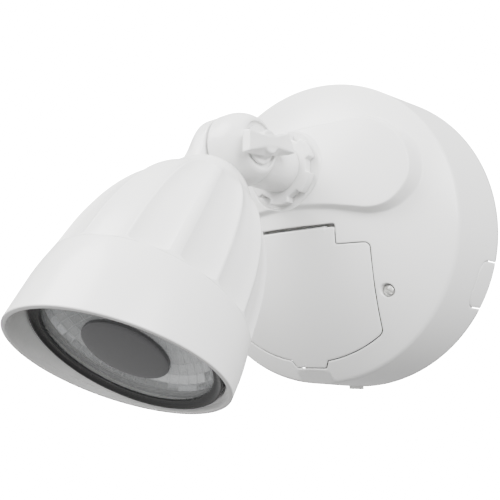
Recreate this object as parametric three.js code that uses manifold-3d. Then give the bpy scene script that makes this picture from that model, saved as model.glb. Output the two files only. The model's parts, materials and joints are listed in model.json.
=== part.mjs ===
// Outdoor floodlight with one swivelling LED head on a round wall base. Millimetres.
// The wall plane is y = 0, the lamp stands out towards -Y, +Z is up and +X is to its right as seen
// from the front. The origin is the centre of the base's back.
import * as THREE from "three";
import { mergeVertices } from "three/addons/utils/BufferGeometryUtils.js";
import Module from "manifold-3d";

const wasm = await Module();
wasm.setup();

// ---- driving dimensions ----
const GAP = 0.3; // clearance between pieces that touch
const BASE_R = 80; // back rim of the round base
const BASE_FRONT_R = 76; // where the side wall meets the domed face
const BASE_SIDE = 41; // height of the side wall from the wall plane
const DOME_RISE = 24.2; // height of the domed face over the side wall
const SHELL = 2.4; // wall of the base housing
const BASE_SEGMENTS = 48; // facets round the base, the shroud and other large turned pieces

const ARM_Z = 27.2; // height of the arm's axis over the base's centre
const SWIVEL_REST = THREE.MathUtils.degToRad(2.53); // the arm's turn about its own axis as stored
const ARM_R = 11.9;
const THREAD_R = 10.2;
const SEAT_Y = -64.6; // flat seat of the lock nut's washer
const SEAT_R = 19.3;
const NUT_R = 17.6;
const NUT_NOTCHES = 6;
const NUT_TURN = 2; // degrees from +X down to the first notch
const HINGE_Y = -102.4; // tilt hinge, from the wall
const HINGE_RISE = 1.2; // tilt hinge over the arm's axis
const LUG_R = 16.4;
const LUG_SEAM = 2.6; // the lug's flat face is this far on the -X side of the arm's axis
const LUG_FACE = -13.5; // minus x of the lug's outer face
const TUBE_END = HINGE_Y + 4;
const BOLT_R = 3;
const BOLT_HOLE_R = 3.4;
const WING_REST = THREE.MathUtils.degToRad(-10);

const TILT_REST = THREE.MathUtils.degToRad(53.64); // head axis below the horizontal as stored
const HEAD_OFFSET = 3.4; // head axis in front of the tilt hinge
const COLLAR_U = 91.4; // rear edge of the smooth shroud, from the hinge along the head axis
const SPIGOT_R = 36.8; // the bell's spigot, inside the shroud
const RIM_U = 115.3; // middle of the shroud's slanted rim
const RIM_SLANT = THREE.MathUtils.degToRad(8.13);
const LENS_U = 105.2; // back face of the lens
const LENS_FRONT_U = 107.7;
const LENS_R = 35.8;
const CAP_R = 16.4;
const RIBS = 15;
const RIB_STEPS = 4; // facets from one rib to the next
const RIB_TURN = 6; // degrees from the lathe seam to the first rib
const FLUTE_DEPTH = 1.7;

const DOOR_TAB_X = 25;
const DOOR_TOP_Z = -2.1;
const DOOR_SHOULDER_Z = -11.4;
const DOOR_HALF = 40.2;
const DOOR_ARC_R = 65.2;
const DOOR_LATCH_Z = -68;
const DOOR_HINGE_Y = -61.2;
const DOOR_HINGE_Z = -3.9;
const DOOR_LATCH_HALF = 8; // the latch tab widens to DOOR_LATCH_HALF + DOOR_LATCH_FLARE at the arc
const DOOR_LATCH_FLARE = 2.2;
const DOOR_SIDE_END = THREE.MathUtils.degToRad(-52.6); // where the straight side meets the arc
const DOOR_SKIN = 2.3;
const DOOR_BARREL_R = 1.9;
const DOOR_BARREL_HALF = 24.4;
const DOOR_GAP = 0.45;
const HINGE_LUG_X = 27.6; // the base's lugs at the ends of the door's barrel
const DOOR_PIN_R = 0.85;
const DOOR_PIN_HOLE_R = 1.2;
const COVER_SCREW_X = 45.2;
const COVER_SCREW_Z = -33;
const KNOCKOUT_ANGLE = THREE.MathUtils.degToRad(22.4); // below the horizontal
const KNOCKOUT_HALF = 11.4;
const KNOCKOUT_DEPTH = 15.5;
const KNOCKOUT_CORNER = 7;

const PLATE_R = 71;
const PLATE_THICK = 2;
const PLATE_BOSS_END = -13.6; // front of the bosses that take the cover screws
const SLOT_X = 44.45; // half of the spacing of a junction box's cover screws
const UPPER_SLOT_X = 35;
const UPPER_SLOT_Z = 29.2;
const WIRE_HOLE_Z = 24;
const WIRE_HOLE_R = 11;
const GROUND_X = -24;
const GROUND_Z = -8;

const BOARD_Y = -26.2; // component side of the driver board
const SWITCH_X = 12; // each switch's distance from the middle
const SWITCH_Z = -32;
const SWITCH_SLOT_HALF = 5.6;
const SLIDER_HALF = 2;

// ---- materials ----
const plastic = (color, roughness = 0.42) =>
  new THREE.MeshStandardMaterial({ color, roughness, metalness: 0 });
const metal = (color, roughness = 0.35) =>
  new THREE.MeshStandardMaterial({ color, roughness, metalness: 1 });
const WHITE = 0xe9e9e7;
const RUBBER_BLACK = 0x202124;
const STEEL = 0xb9bcc0;
const ZINC = 0xc9c9c7;
const BOARD_GREEN = 0x1f6b43;

// ---- solids ----
function solidOf(geometry) {
  const bare = geometry.index ? geometry.toNonIndexed() : geometry.clone();
  const only = new THREE.BufferGeometry();
  only.setAttribute("position", bare.getAttribute("position"));
  const merged = mergeVertices(only, 1e-4);
  const make = (triVerts) =>
    new wasm.Manifold(
      new wasm.Mesh({
        numProp: 3,
        vertProperties: new Float32Array(merged.attributes.position.array),
        triVerts,
      }),
    );
  const triVerts = new Uint32Array(merged.index.array);
  const solid = make(triVerts);
  return solid.volume() < 0 ? make(triVerts.reverse()) : solid;
}

function geometryOf(solid) {
  const mesh = solid.getMesh();
  const geometry = new THREE.BufferGeometry();
  geometry.setAttribute("position", new THREE.BufferAttribute(mesh.vertProperties, 3));
  geometry.setIndex(new THREE.BufferAttribute(mesh.triVerts, 1));
  geometry.computeVertexNormals();
  return geometry;
}

const join = (first, ...rest) => rest.reduce((sum, next) => sum.add(next), first);
const cut = (first, ...rest) => rest.reduce((left, next) => left.subtract(next), first);

function box(x0, x1, y0, y1, z0, z1) {
  const geometry = new THREE.BoxGeometry(x1 - x0, y1 - y0, z1 - z0);
  geometry.translate((x0 + x1) / 2, (y0 + y1) / 2, (z0 + z1) / 2);
  return solidOf(geometry);
}

// Turned solid about Y from a profile of [radius, y] points that starts and ends on the axis
// or closes on itself.
function turned(profile, segments = BASE_SEGMENTS) {
  const points = profile.map(([r, y]) => new THREE.Vector2(r, y));
  return solidOf(new THREE.LatheGeometry(points, segments));
}

const ring = (r0, r1, y0, y1, segments = 30) =>
  turned([[r0, y0], [r1, y0], [r1, y1], [r0, y1], [r0, y0]], segments);
const disc = (r, y0, y1, segments = 24) =>
  turned([[0, y0], [r, y0], [r, y1], [0, y1]], segments);

// Rod along Y at x, z.
const rodY = (r, y0, y1, x, z, segments = 16) => disc(r, y0, y1, segments).translate([x, 0, z]);
// Rod along X at y, z.
const rodX = (r, x0, x1, y, z, segments = 12) =>
  disc(r, -x1, -x0, segments).rotate([0, 0, 90]).translate([0, y, z]);

// Solid over an outline in the XZ plane, from yBack to yFront (yFront is the lower value).
function panel(shape, yBack, yFront, curveSegments = 4) {
  const geometry = new THREE.ExtrudeGeometry(shape, {
    depth: yBack - yFront,
    bevelEnabled: false,
    curveSegments,
  });
  geometry.rotateX(Math.PI / 2);
  geometry.translate(0, yBack, 0);
  return solidOf(geometry);
}

function polygon(points) {
  return new THREE.Shape(points.map(([x, y]) => new THREE.Vector2(x, y)));
}

// ---- base ----
const domeY = (r) => -(BASE_SIDE + DOME_RISE * (1 - (r / BASE_FRONT_R) ** 2));
const sideR = (y) => BASE_R + ((BASE_R - BASE_FRONT_R) * y) / BASE_SIDE;

// Solid drum with the base's outline, all of it pulled in by inset; the dome keeps its shape.
function drum(inset, domeInset, backY) {
  const corner = BASE_FRONT_R - inset;
  const profile = [[0, backY], [sideR(backY) - inset, backY]];
  const rings = 5;
  for (let i = 0; i <= rings; i += 1) {
    const r = corner * (1 - i / rings);
    const y = domeY(Math.min(r + inset * 0.55, BASE_FRONT_R)) + domeInset;
    profile.push([r, i === rings ? domeY(0) + domeInset : y]);
  }
  return turned(profile);
}

// Layer of the domed face between two depths under its surface.
const faceLayer = (outer, inner) => cut(drum(0, outer, -20), drum(0, inner, -10));

function doorOutline(grow) {
  const shape = new THREE.Shape();
  const arcR = DOOR_ARC_R + grow;
  const tab = DOOR_TAB_X + grow;
  const half = DOOR_HALF + grow;
  const shoulder = DOOR_SHOULDER_Z + grow;
  const latch = DOOR_LATCH_HALF + grow;
  const latchAngle = -Math.acos((latch + DOOR_LATCH_FLARE) / arcR);
  const side = [arcR * Math.cos(DOOR_SIDE_END), arcR * Math.sin(DOOR_SIDE_END)];
  shape.moveTo(tab, DOOR_TOP_Z + grow);
  shape.lineTo(tab, shoulder);
  shape.lineTo(half - 2.4, shoulder);
  shape.quadraticCurveTo(half, shoulder, half, shoulder - 2.6);
  shape.lineTo(side[0], side[1] + 3.5);
  shape.quadraticCurveTo(side[0] - 0.2, side[1] + 0.6, side[0] - 2.2, side[1] - 1.6);
  shape.absarc(0, 0, arcR, Math.atan2(side[1] - 1.6, side[0] - 2.2), latchAngle, true);
  shape.lineTo(latch, DOOR_LATCH_Z - grow);
  shape.lineTo(-latch, DOOR_LATCH_Z - grow);
  shape.absarc(0, 0, arcR, -Math.PI - latchAngle, Math.atan2(side[1] - 1.6, 2.2 - side[0]), true);
  shape.quadraticCurveTo(0.2 - side[0], side[1] + 0.6, -side[0], side[1] + 3.5);
  shape.lineTo(-half, shoulder - 2.6);
  shape.quadraticCurveTo(-half, shoulder, 2.4 - half, shoulder);
  shape.lineTo(-tab, shoulder);
  shape.lineTo(-tab, DOOR_TOP_Z + grow);
  return shape;
}

// Two round lobes joined by a waist that sags at the bottom: the raised part of the face.
function bossOutline() {
  const lobeX = 43;
  const lobeZ = 24.5;
  const lobeR = 20;
  const shape = new THREE.Shape();
  shape.moveTo(0, 49.5);
  shape.quadraticCurveTo(24, 49.5, lobeX - 5, lobeZ + lobeR - 0.8);
  shape.absarc(lobeX, lobeZ, lobeR, 1.8, -1.5, true);
  shape.bezierCurveTo(lobeX - 8, lobeZ - lobeR - 0.2, 18, 8.2, 0, 8.2);
  shape.bezierCurveTo(-18, 8.2, 8 - lobeX, lobeZ - lobeR - 0.2, -lobeX - 1.4, lobeZ - lobeR);
  shape.absarc(-lobeX, lobeZ, lobeR, Math.PI + 1.5, Math.PI - 1.8, true);
  shape.quadraticCurveTo(-24, 49.5, 0, 49.5);
  return shape;
}

function bossTop() {
  const apex = 66.8;
  const fall = 15;
  const profile = [[0, -10], [BASE_FRONT_R, -10]];
  const rings = 5;
  for (let i = 0; i <= rings; i += 1) {
    const r = BASE_FRONT_R * (1 - i / rings);
    profile.push([r, -(apex - fall * (r / BASE_FRONT_R) ** 2)]);
  }
  return turned(profile);
}

function knockoutShape(grow) {
  const half = KNOCKOUT_HALF + grow;
  const depth = KNOCKOUT_DEPTH + grow;
  const shape = new THREE.Shape();
  shape.moveTo(-half, 5);
  shape.lineTo(-half, KNOCKOUT_CORNER - depth);
  shape.quadraticCurveTo(-half, -depth, KNOCKOUT_CORNER - half, -depth);
  shape.lineTo(half - KNOCKOUT_CORNER, -depth);
  shape.quadraticCurveTo(half, -depth, half, KNOCKOUT_CORNER - depth);
  shape.lineTo(half, 5);
  return shape;
}

// Radial bar through the side wall; side is 1 on the right and -1 on the left.
function knockoutBar(side, grow) {
  const geometry = new THREE.ExtrudeGeometry(knockoutShape(grow), {
    depth: 24,
    bevelEnabled: false,
    curveSegments: 4,
  });
  geometry.translate(0, 0, 66);
  geometry.rotateY(Math.PI / 2 + KNOCKOUT_ANGLE);
  if (side < 0) geometry.rotateY(Math.PI - 2 * KNOCKOUT_ANGLE);
  return solidOf(geometry);
}

function baseHousing() {
  const hollow = drum(SHELL, SHELL + 0.2, 1);
  const shell = cut(drum(0, 0, 0), hollow);
  const boss = cut(panel(bossOutline(), -20, -75, 6).intersect(bossTop()), hollow);
  const pad = cut(rodY(SEAT_R, -50, SEAT_Y, 0, ARM_Z, 30), hollow);
  const hub = rodY(14.6, -48, -60, 0, ARM_Z, 24);
  const ledge = cut(panel(doorOutline(3), -30, -75), panel(doorOutline(-3), -20, -80));
  const ledgeLayer = cut(ledge.intersect(faceLayer(3.9, 6)), box(-60, 60, -90, 0, -13, 20));
  let body = join(shell, boss, pad, hub, ledgeLayer);
  for (const side of [-1, 1]) {
    const lugX = side * HINGE_LUG_X;
    const lug = box(lugX - 1.8, lugX + 1.8, -63, -57.6, DOOR_HINGE_Z - 2.4, DOOR_HINGE_Z + 2.4);
    body = join(body, lug, rodY(5, -14, -50, side * COVER_SCREW_X, COVER_SCREW_Z));
  }
  const aperture = panel(doorOutline(DOOR_GAP), -20, -90).intersect(faceLayer(-1, 3.6));
  const compartment = cut(panel(doorOutline(-3), -20, -90), box(-60, 60, -90, 0, -9, 20));
  const slotHalf = DOOR_TAB_X + DOOR_GAP;
  body = cut(
    body,
    rodY(SEAT_R + GAP, SEAT_Y, -90, 0, ARM_Z, 30),
    rodY(THREAD_R + 0.4, -30, -90, 0, ARM_Z, 30),
    aperture,
    compartment,
    box(-slotHalf, slotHalf, -90, -50, -13.5, 0.4),
    rodX(DOOR_PIN_HOLE_R, -32, 32, DOOR_HINGE_Y, DOOR_HINGE_Z),
  );
  for (const side of [-1, 1]) {
    const x = side * COVER_SCREW_X;
    const recess = rodY(3, -49, -80, x, COVER_SCREW_Z);
    const bore = rodY(1.8, -10, -80, x, COVER_SCREW_Z, 12);
    body = cut(body, recess, bore, knockoutBar(side, 0.35));
  }
  const scoop = solidOf(new THREE.BoxGeometry(19, 12, 12)).rotate([-30, 0, 0]);
  const tongueNotch = box(-4.6, 4.6, -3.6, 1, -82, -74);
  return cut(body, scoop.translate([0, -50.6, -76.8]), tongueNotch);
}

function mountingPlate() {
  const tongue = box(-4, 4, -PLATE_THICK, 0, -81.3, -68);
  let plate = join(disc(PLATE_R, -PLATE_THICK, 0, BASE_SEGMENTS), tongue);
  for (const side of [-1, 1]) {
    const x = side * COVER_SCREW_X;
    const slot = box(side * SLOT_X - 4, side * SLOT_X + 4, -5, 1, -2.3, 2.3);
    const upperX = side * UPPER_SLOT_X;
    const upperSlot = box(upperX - 3.5, upperX + 3.5, -5, 1, UPPER_SLOT_Z - 2.3, UPPER_SLOT_Z + 2.3);
    plate = join(plate, rodY(4, -1, PLATE_BOSS_END, x, COVER_SCREW_Z));
    plate = cut(plate, rodY(1.8, -3, -20, x, COVER_SCREW_Z, 12), slot, upperSlot);
  }
  const wireHole = rodY(WIRE_HOLE_R, -5, 1, 0, WIRE_HOLE_Z, 24);
  return cut(plate, wireHole, rodY(1.9, -5, 1, GROUND_X, GROUND_Z, 12));
}

function wallGasket() {
  const outside = 76.4;
  const band = ring(PLATE_R + 0.4, outside, -4.5, 0, BASE_SEGMENTS);
  return cut(band, box(-4.4, 4.4, -2.4, 1, -80, -60));
}

// Small pan-head screw along Y, its head towards -Y, with a straight slot.
function slottedScrew(headR, headY, headHeight, shankR, shankEnd) {
  const head = disc(headR, headY, headY + headHeight, 16);
  const shank = disc(shankR, headY + headHeight / 2, shankEnd, 12);
  return cut(join(head, shank), box(-headR - 1, headR + 1, headY - 1, headY + 0.8, -0.45, 0.45));
}

function coverScrew(side) {
  return slottedScrew(2.5, -51.6, 1.9, 1.45, -9).translate([side * COVER_SCREW_X, 0, COVER_SCREW_Z]);
}

function groundScrew() {
  return slottedScrew(3.6, -5, 2.6, 1.5, -GAP).translate([GROUND_X, 0, GROUND_Z]);
}

const knockout = (side) =>
  knockoutBar(side, 0).intersect(cut(drum(0.1, 0.1, -0.1), drum(SHELL, SHELL, 1)));

function accessDoor() {
  const skin = panel(doorOutline(0), -20, -90).intersect(faceLayer(0, DOOR_SKIN));
  const barrel = rodX(DOOR_BARREL_R, -DOOR_BARREL_HALF, DOOR_BARREL_HALF, DOOR_HINGE_Y, DOOR_HINGE_Z);
  const bridge = box(
    -DOOR_BARREL_HALF, DOOR_BARREL_HALF, -63.8, DOOR_HINGE_Y, DOOR_HINGE_Z - 1.6, DOOR_HINGE_Z,
  );
  return cut(join(skin, barrel, bridge), rodX(DOOR_PIN_HOLE_R, -30, 30, DOOR_HINGE_Y, DOOR_HINGE_Z));
}

const doorHingePin = () => rodX(DOOR_PIN_R, -29.2, 29.2, DOOR_HINGE_Y, DOOR_HINGE_Z);

function doorSeal() {
  const band = cut(panel(doorOutline(-0.6), -30, -75), panel(doorOutline(-2.6), -20, -80));
  return cut(band.intersect(faceLayer(2.6, 3.6)), box(-60, 60, -90, 0, -13.2, 20));
}

// Open box behind the door, its front edge following the inside of the face.
function controlTray() {
  const outside = box(-34, 34, -70, -36, -59.5, -13.6);
  const inside = box(-32, 32, -80, -38, -57.5, -15.6);
  return cut(outside, inside).intersect(drum(SHELL, 6.4, 1));
}

function switchBody(x) {
  const body = box(x - 8, x + 8, -44.4, -40.2, SWITCH_Z - 4, SWITCH_Z + 4);
  const slot = box(x - SWITCH_SLOT_HALF, x + SWITCH_SLOT_HALF, -46, -41.6, SWITCH_Z - 1.6, SWITCH_Z + 1.6);
  return cut(body, slot);
}

function switchSlider(x) {
  const shoe = box(x - SLIDER_HALF, x + SLIDER_HALF, -43.6, -41.9, SWITCH_Z - 1.3, SWITCH_Z + 1.3);
  return join(shoe, box(x - 1.2, x + 1.2, -46.6, -43, SWITCH_Z - 1, SWITCH_Z + 1));
}

// Scalloped ring nut about the arm axis.
function lockNut() {
  const hole = THREAD_R + 0.4;
  const back = -66;
  const front = -69.6;
  const blank = turned(
    [[hole, back], [NUT_R, back], [NUT_R, -69], [NUT_R - 0.7, front], [hole, front], [hole, back]],
    BASE_SEGMENTS,
  );
  const notches = [];
  for (let i = 0; i < NUT_NOTCHES; i += 1) {
    const notch = panel(polygon([[14.9, -2.7], [19, -4.9], [19, 4.9], [14.9, 2.7]]), -50, -80);
    notches.push(notch.rotate([0, (360 / NUT_NOTCHES) * i + NUT_TURN, 0]));
  }
  return cut(blank, ...notches).translate([0, 0, ARM_Z]);
}

const nutWasher = () => ring(THREAD_R + 0.4, 14.6, SEAT_Y - 1.1, SEAT_Y - GAP).translate([0, 0, ARM_Z]);

// ---- driver, inside the base ----
function driverCase() {
  const outside = box(-40, 40, -30, -12, 2, 46);
  const inside = box(-38.4, 38.4, -28.4, 0, 3.6, 44.4);
  const wireSlot = box(-6, 6, -40, -20, 18, 30);
  return cut(outside, inside, wireSlot);
}

const driverBoard = () => cut(box(-37, 37, -27.8, BOARD_Y, 4.2, 43.8), rodY(8, -40, 0, 0, WIRE_HOLE_Z));

const driverTransformer = () => box(14, 32, BOARD_Y + GAP, -13, 8, 24);

const driverCapacitor = () => rodY(5, BOARD_Y + GAP, -13.4, 24, 34);

const driverChoke = () => cut(rodY(6.5, BOARD_Y + GAP, -18, -19, 33), rodY(2.6, -30, -10, -19, 33, 12));

function terminalBlock() {
  const screwHoles = [-30, -23, -16].map((x) => rodY(1.8, -22, -10, x, 14, 12));
  return cut(box(-34, -12, BOARD_Y + GAP, -15, 8, 20), ...screwHoles);
}

// ---- arm, in the frame of the swivel: y from the wall, axis at x = 0, z = 0 ----
// Turned about X through the hinge; a profile's second value is minus x.
const aboutHinge = (solid) => solid.rotate([0, 0, 90]).translate([0, HINGE_Y, HINGE_RISE]);

function armKnuckle() {
  const lug = aboutHinge(
    turned(
      [
        [0, LUG_SEAM], [LUG_R, LUG_SEAM], [LUG_R + 0.1, -1], [16, -5], [14.9, -8.6], [13.2, -11.4],
        [11.2, LUG_FACE], [0, LUG_FACE],
      ],
      36,
    ),
  );
  const thread = disc(THREAD_R, -70, -47.6, 30);
  const tube = disc(ARM_R, TUBE_END, -69.9, 36);
  const earRoom = aboutHinge(disc(LUG_R + 1.6, LUG_SEAM, 20, 36));
  const wireBore = disc(5.5, TUBE_END, -40, 16);
  const wireRoom = aboutHinge(ring(5.6, 9.4, -5, 3, 24));
  const boltHole = aboutHinge(disc(BOLT_HOLE_R, -20, 10, 16));
  const counterbore = aboutHinge(disc(10.4, -20, -12, 30));
  const body = join(cut(join(tube, thread), earRoom), lug);
  return cut(body, wireBore, boltHole, counterbore, wireRoom);
}

function wireBushing() {
  return turned(
    [[3.4, -45.6], [9.6, -45.6], [9.6, -47.3], [5.2, -47.3], [5.2, -56], [3.4, -56], [3.4, -45.6]],
    20,
  );
}

const knuckleWasher = () => aboutHinge(ring(10, 15.6, LUG_SEAM + GAP, 3.7));

function wingScrew() {
  const hub = aboutHinge(
    turned([[0, -12.3], [8.6, -12.3], [8.6, -13.6], [5.4, -15], [5.4, -19.6], [0, -19.6]], 24),
  );
  const shank = aboutHinge(disc(BOLT_R, -13, 14.4, 12));
  const outline = [
    [-17.4, 0], [-16.6, -3], [-8, -2.6], [-5, -3.6], [5, -3.6], [8, -2.6], [16.6, -3],
    [17.4, 0], [16.2, 3.4], [-16.2, 3.4],
  ];
  const blade = new THREE.ExtrudeGeometry(polygon(outline), { depth: 3.8, bevelEnabled: false });
  blade.rotateX(Math.PI / 2);
  blade.rotateZ(Math.PI / 2);
  blade.rotateX(-WING_REST);
  blade.translate(15.6, HINGE_Y, HINGE_RISE);
  return join(hub, shank, solidOf(blade));
}

// ---- head, in the frame of the tilt hinge: y along the head axis to the front ----
const onAxis = (solid) => solid.translate([0, 0, -HEAD_OFFSET]);

function bellProfile() {
  return [
    [0, 19], [9, 19.6], [13.4, 22], [17.2, 26.5], [20.6, 32.2], [25, 38], [28.8, 44.2], [33.8, 56.2],
    [37.5, 72.2], [39.2, COLLAR_U - GAP],
  ];
}

// Solid bell with a concave flute between each rib and the next.
function flutedBell() {
  const outer = bellProfile();
  const firstFluted = 4;
  const points = [...outer, [0, COLLAR_U - GAP]].map(([r, y]) => new THREE.Vector2(r, y));
  const geometry = new THREE.LatheGeometry(points, RIBS * RIB_STEPS);
  const depth = [0, 0.8, 1, 0.8];
  const place = geometry.getAttribute("position");
  for (let i = 0; i < place.count; i += 1) {
    const row = i % points.length;
    const column = Math.floor(i / points.length);
    if (row >= firstFluted && row < outer.length) {
      const fade = Math.min(1, (row - firstFluted + 1) / 3);
      const scale = 1 - (FLUTE_DEPTH * fade * depth[column % RIB_STEPS]) / outer[row][0];
      place.setX(i, place.getX(i) * scale);
      place.setZ(i, place.getZ(i) * scale);
    }
  }
  return solidOf(geometry).rotate([0, RIB_TURN, 0]);
}

// The bell's hollow, with a ledge that the heat spreader rests on.
function bellInside() {
  return turned(
    [[0, 27], [16, 33], [24, 44], [31, 60], [34.2, 76], [31, 79], [34.2, 84], [34.2, 110], [0, 110]],
    36,
  );
}

// Solid about the hinge in the head's frame.
const acrossHinge = (r, length, x, sides) =>
  solidOf(new THREE.CylinderGeometry(r, r, length, sides).rotateZ(Math.PI / 2).translate(x, 0, 0));

function headHousing() {
  const earProfile = [[0, 4], [LUG_R, 4], [LUG_R, 9], [14.8, 12.4], [11.4, 15], [0, 15.6]];
  const ear = turned(earProfile, 30).rotate([0, 0, 90]);
  const neckOutline = polygon([[-4, 0], [-15, 0], [-18.6, 18], [-17, 30], [-4, 30]]);
  const neck = solidOf(
    new THREE.ExtrudeGeometry(neckOutline, { depth: 24, bevelEnabled: false }).translate(0, 0, -14),
  );
  const spigot = ring(30, SPIGOT_R, 85, 103.7, BASE_SEGMENTS);
  const wireWay = solidOf(new THREE.CylinderGeometry(2.6, 2.6, 40, 12).translate(-9, 26, 0));
  return cut(
    join(onAxis(join(flutedBell(), spigot)), ear, neck),
    onAxis(bellInside()),
    acrossHinge(5.9, 6, -14.6, 6),
    acrossHinge(BOLT_HOLE_R, 60, 0, 16),
    wireWay,
    acrossHinge(LUG_R + 0.9, 40, 16, 36),
  );
}

const hingeNut = () => cut(acrossHinge(5.5, 2.4, -13.2, 6), acrossHinge(BOLT_HOLE_R, 9, -13.2, 16));

function frontShroud() {
  const sections = turned([
    [37.1, COLLAR_U], [39.4, COLLAR_U], [40.2, 104], [39.9, 124], [38.8, 124], [38.4, 116],
    [36.2, 108], [36.2, 105], [37.1, 104.4], [37.1, COLLAR_U],
  ]);
  const beyond = solidOf(
    new THREE.BoxGeometry(120, 60, 120).translate(0, 30, 0).rotateX(RIM_SLANT).translate(0, RIM_U, 0),
  );
  return onAxis(cut(sections, beyond));
}

function reflector() {
  const profile = [];
  const steps = 5;
  const bowl = (k) => 11 + 21.4 * Math.sin((k / steps) * Math.PI * 0.5) ** 0.9;
  for (let k = 0; k <= steps; k += 1) profile.push([bowl(k), 87.4 + (15 * k) / steps]);
  profile.push([33.8, 102.4], [33.8, 103.6]);
  for (let k = steps; k >= 0; k -= 1) profile.push([bowl(k) - 1.1, 88.6 + (15 * k) / steps]);
  profile.push([profile[0][0], profile[0][1]]);
  return onAxis(turned(profile, 30));
}

const heatSpreader = () => onAxis(disc(33.6, 84.4, 86.4, 36));

const ledBoard = () => onAxis(disc(9.4, 86.7, 88.2));

const ledChip = () => onAxis(disc(6.2, 88.5, 89.4));

const lensGasket = () => onAxis(ring(33.2, LENS_R, 104, LENS_U - GAP, 36));

const lens = () => onAxis(disc(LENS_R, LENS_U, LENS_FRONT_U, BASE_SEGMENTS));

function centreCap() {
  const back = LENS_FRONT_U + GAP;
  return onAxis(turned([[0, back], [CAP_R, back], [CAP_R, 108.8], [CAP_R - 0.6, 109.3], [0, 109.6]], 30));
}

function lensRetainer() {
  const back = LENS_FRONT_U + GAP;
  const inner = 32;
  const profile = [
    [inner, back], [LENS_R, back], [LENS_R, 109.8], [LENS_R - 0.8, 110], [inner + 0.6, 108.9],
    [inner, 108.6], [inner, back],
  ];
  return onAxis(turned(profile, 36));
}

// ---- assembly ----
const lamp = new THREE.Group();
const arm = new THREE.Group();
arm.position.set(0, 0, ARM_Z);
arm.rotation.y = -SWIVEL_REST;
lamp.add(arm);
const head = new THREE.Group();
head.position.set(0, HINGE_Y, HINGE_RISE);
head.rotation.x = Math.PI + TILT_REST;
arm.add(head);

function place(group, name, solid, material) {
  const mesh = new THREE.Mesh(geometryOf(solid), material);
  mesh.name = name;
  group.add(mesh);
}

function addBase() {
  place(lamp, "base_housing", baseHousing(), plastic(WHITE));
  place(lamp, "mounting_plate", mountingPlate(), metal(STEEL));
  place(lamp, "wall_gasket", wallGasket(), plastic(RUBBER_BLACK, 0.9));
  place(lamp, "ground_screw", groundScrew(), metal(0x2f7d46));
  for (const [side, name] of [[-1, "left"], [1, "right"]]) {
    place(lamp, `cover_screw_${name}`, coverScrew(side), metal(ZINC));
    place(lamp, `knockout_${name}`, knockout(side), plastic(WHITE));
  }
  place(lamp, "nut_washer", nutWasher(), plastic(RUBBER_BLACK, 0.9));
  place(lamp, "lock_nut", lockNut(), plastic(WHITE));
}

function addDoor() {
  place(lamp, "access_door", accessDoor(), plastic(WHITE));
  place(lamp, "door_hinge_pin", doorHingePin(), metal(STEEL));
  place(lamp, "door_seal", doorSeal(), plastic(RUBBER_BLACK, 0.9));
  place(lamp, "control_tray", controlTray(), plastic(WHITE, 0.6));
  place(lamp, "control_board", box(-26, 26, -39.9, -38.3, -46, -22), plastic(BOARD_GREEN, 0.5));
  for (const [side, name] of [[-1, "brightness"], [1, "colour"]]) {
    place(lamp, `${name}_switch_body`, switchBody(side * SWITCH_X), plastic(0x26272a, 0.5));
    place(lamp, `${name}_slider`, switchSlider(side * SWITCH_X), plastic(0xf0f0ee, 0.5));
  }
}

function addDriver() {
  place(lamp, "driver_case", driverCase(), plastic(0xd8d8d4, 0.6));
  place(lamp, "driver_board", driverBoard(), plastic(BOARD_GREEN, 0.5));
  place(lamp, "driver_transformer", driverTransformer(), plastic(0xc8a43a, 0.5));
  place(lamp, "driver_capacitor", driverCapacitor(), plastic(0x2b2f45, 0.4));
  place(lamp, "driver_choke", driverChoke(), metal(0xa4623a));
  place(lamp, "terminal_block", terminalBlock(), plastic(0xe6e2d2, 0.5));
}

function addArm() {
  place(arm, "arm_knuckle", armKnuckle(), plastic(WHITE));
  place(arm, "wire_bushing", wireBushing(), plastic(RUBBER_BLACK, 0.8));
  place(arm, "knuckle_washer", knuckleWasher(), plastic(0x9a9a98, 0.7));
  place(arm, "wing_screw", wingScrew(), plastic(WHITE));
}

function addHead() {
  const glass = plastic(0xf4f7f8, 0.05);
  glass.transparent = true;
  glass.opacity = 0.3;
  place(head, "head_housing", headHousing(), plastic(WHITE));
  place(head, "hinge_nut", hingeNut(), metal(ZINC));
  place(head, "front_shroud", frontShroud(), plastic(WHITE));
  place(head, "heat_spreader", heatSpreader(), metal(0xbfc2c6));
  place(head, "led_board", ledBoard(), plastic(0xe8e8e4, 0.5));
  place(head, "led_chip", ledChip(), plastic(0xe8c84a, 0.4));
  place(head, "reflector", reflector(), metal(0xd9dbde, 0.1));
  place(head, "lens_gasket", lensGasket(), plastic(RUBBER_BLACK, 0.9));
  place(head, "lens", lens(), glass);
  place(head, "centre_cap", centreCap(), plastic(0x55565a, 0.3));
  place(head, "lens_retainer", lensRetainer(), plastic(0x2c2d30, 0.35));
}

addBase();
addDoor();
addDriver();
addArm();
addHead();

export default lamp;
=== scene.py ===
"""Outdoor floodlight on a round wall base: smooth shells, turned pieces and finishes round the CAD frame.

Shapes are worked out in millimetres and placed in metres. The base's frame is the CAD frame. The arm's
frame has its origin on the arm's axis at the wall plane, x along the tilt hinge and y away from the lamp.
The head's frame has its origin on the tilt hinge, x along the hinge, y along the head's axis to the
front and z to the side that faces the wall.
"""
import json
import math

import bmesh
import bpy
import numpy as np
from bpy.props import FloatProperty, FloatVectorProperty, IntProperty, PointerProperty
from mathutils import Matrix, Vector
from mathutils.geometry import delaunay_2d_cdt


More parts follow.
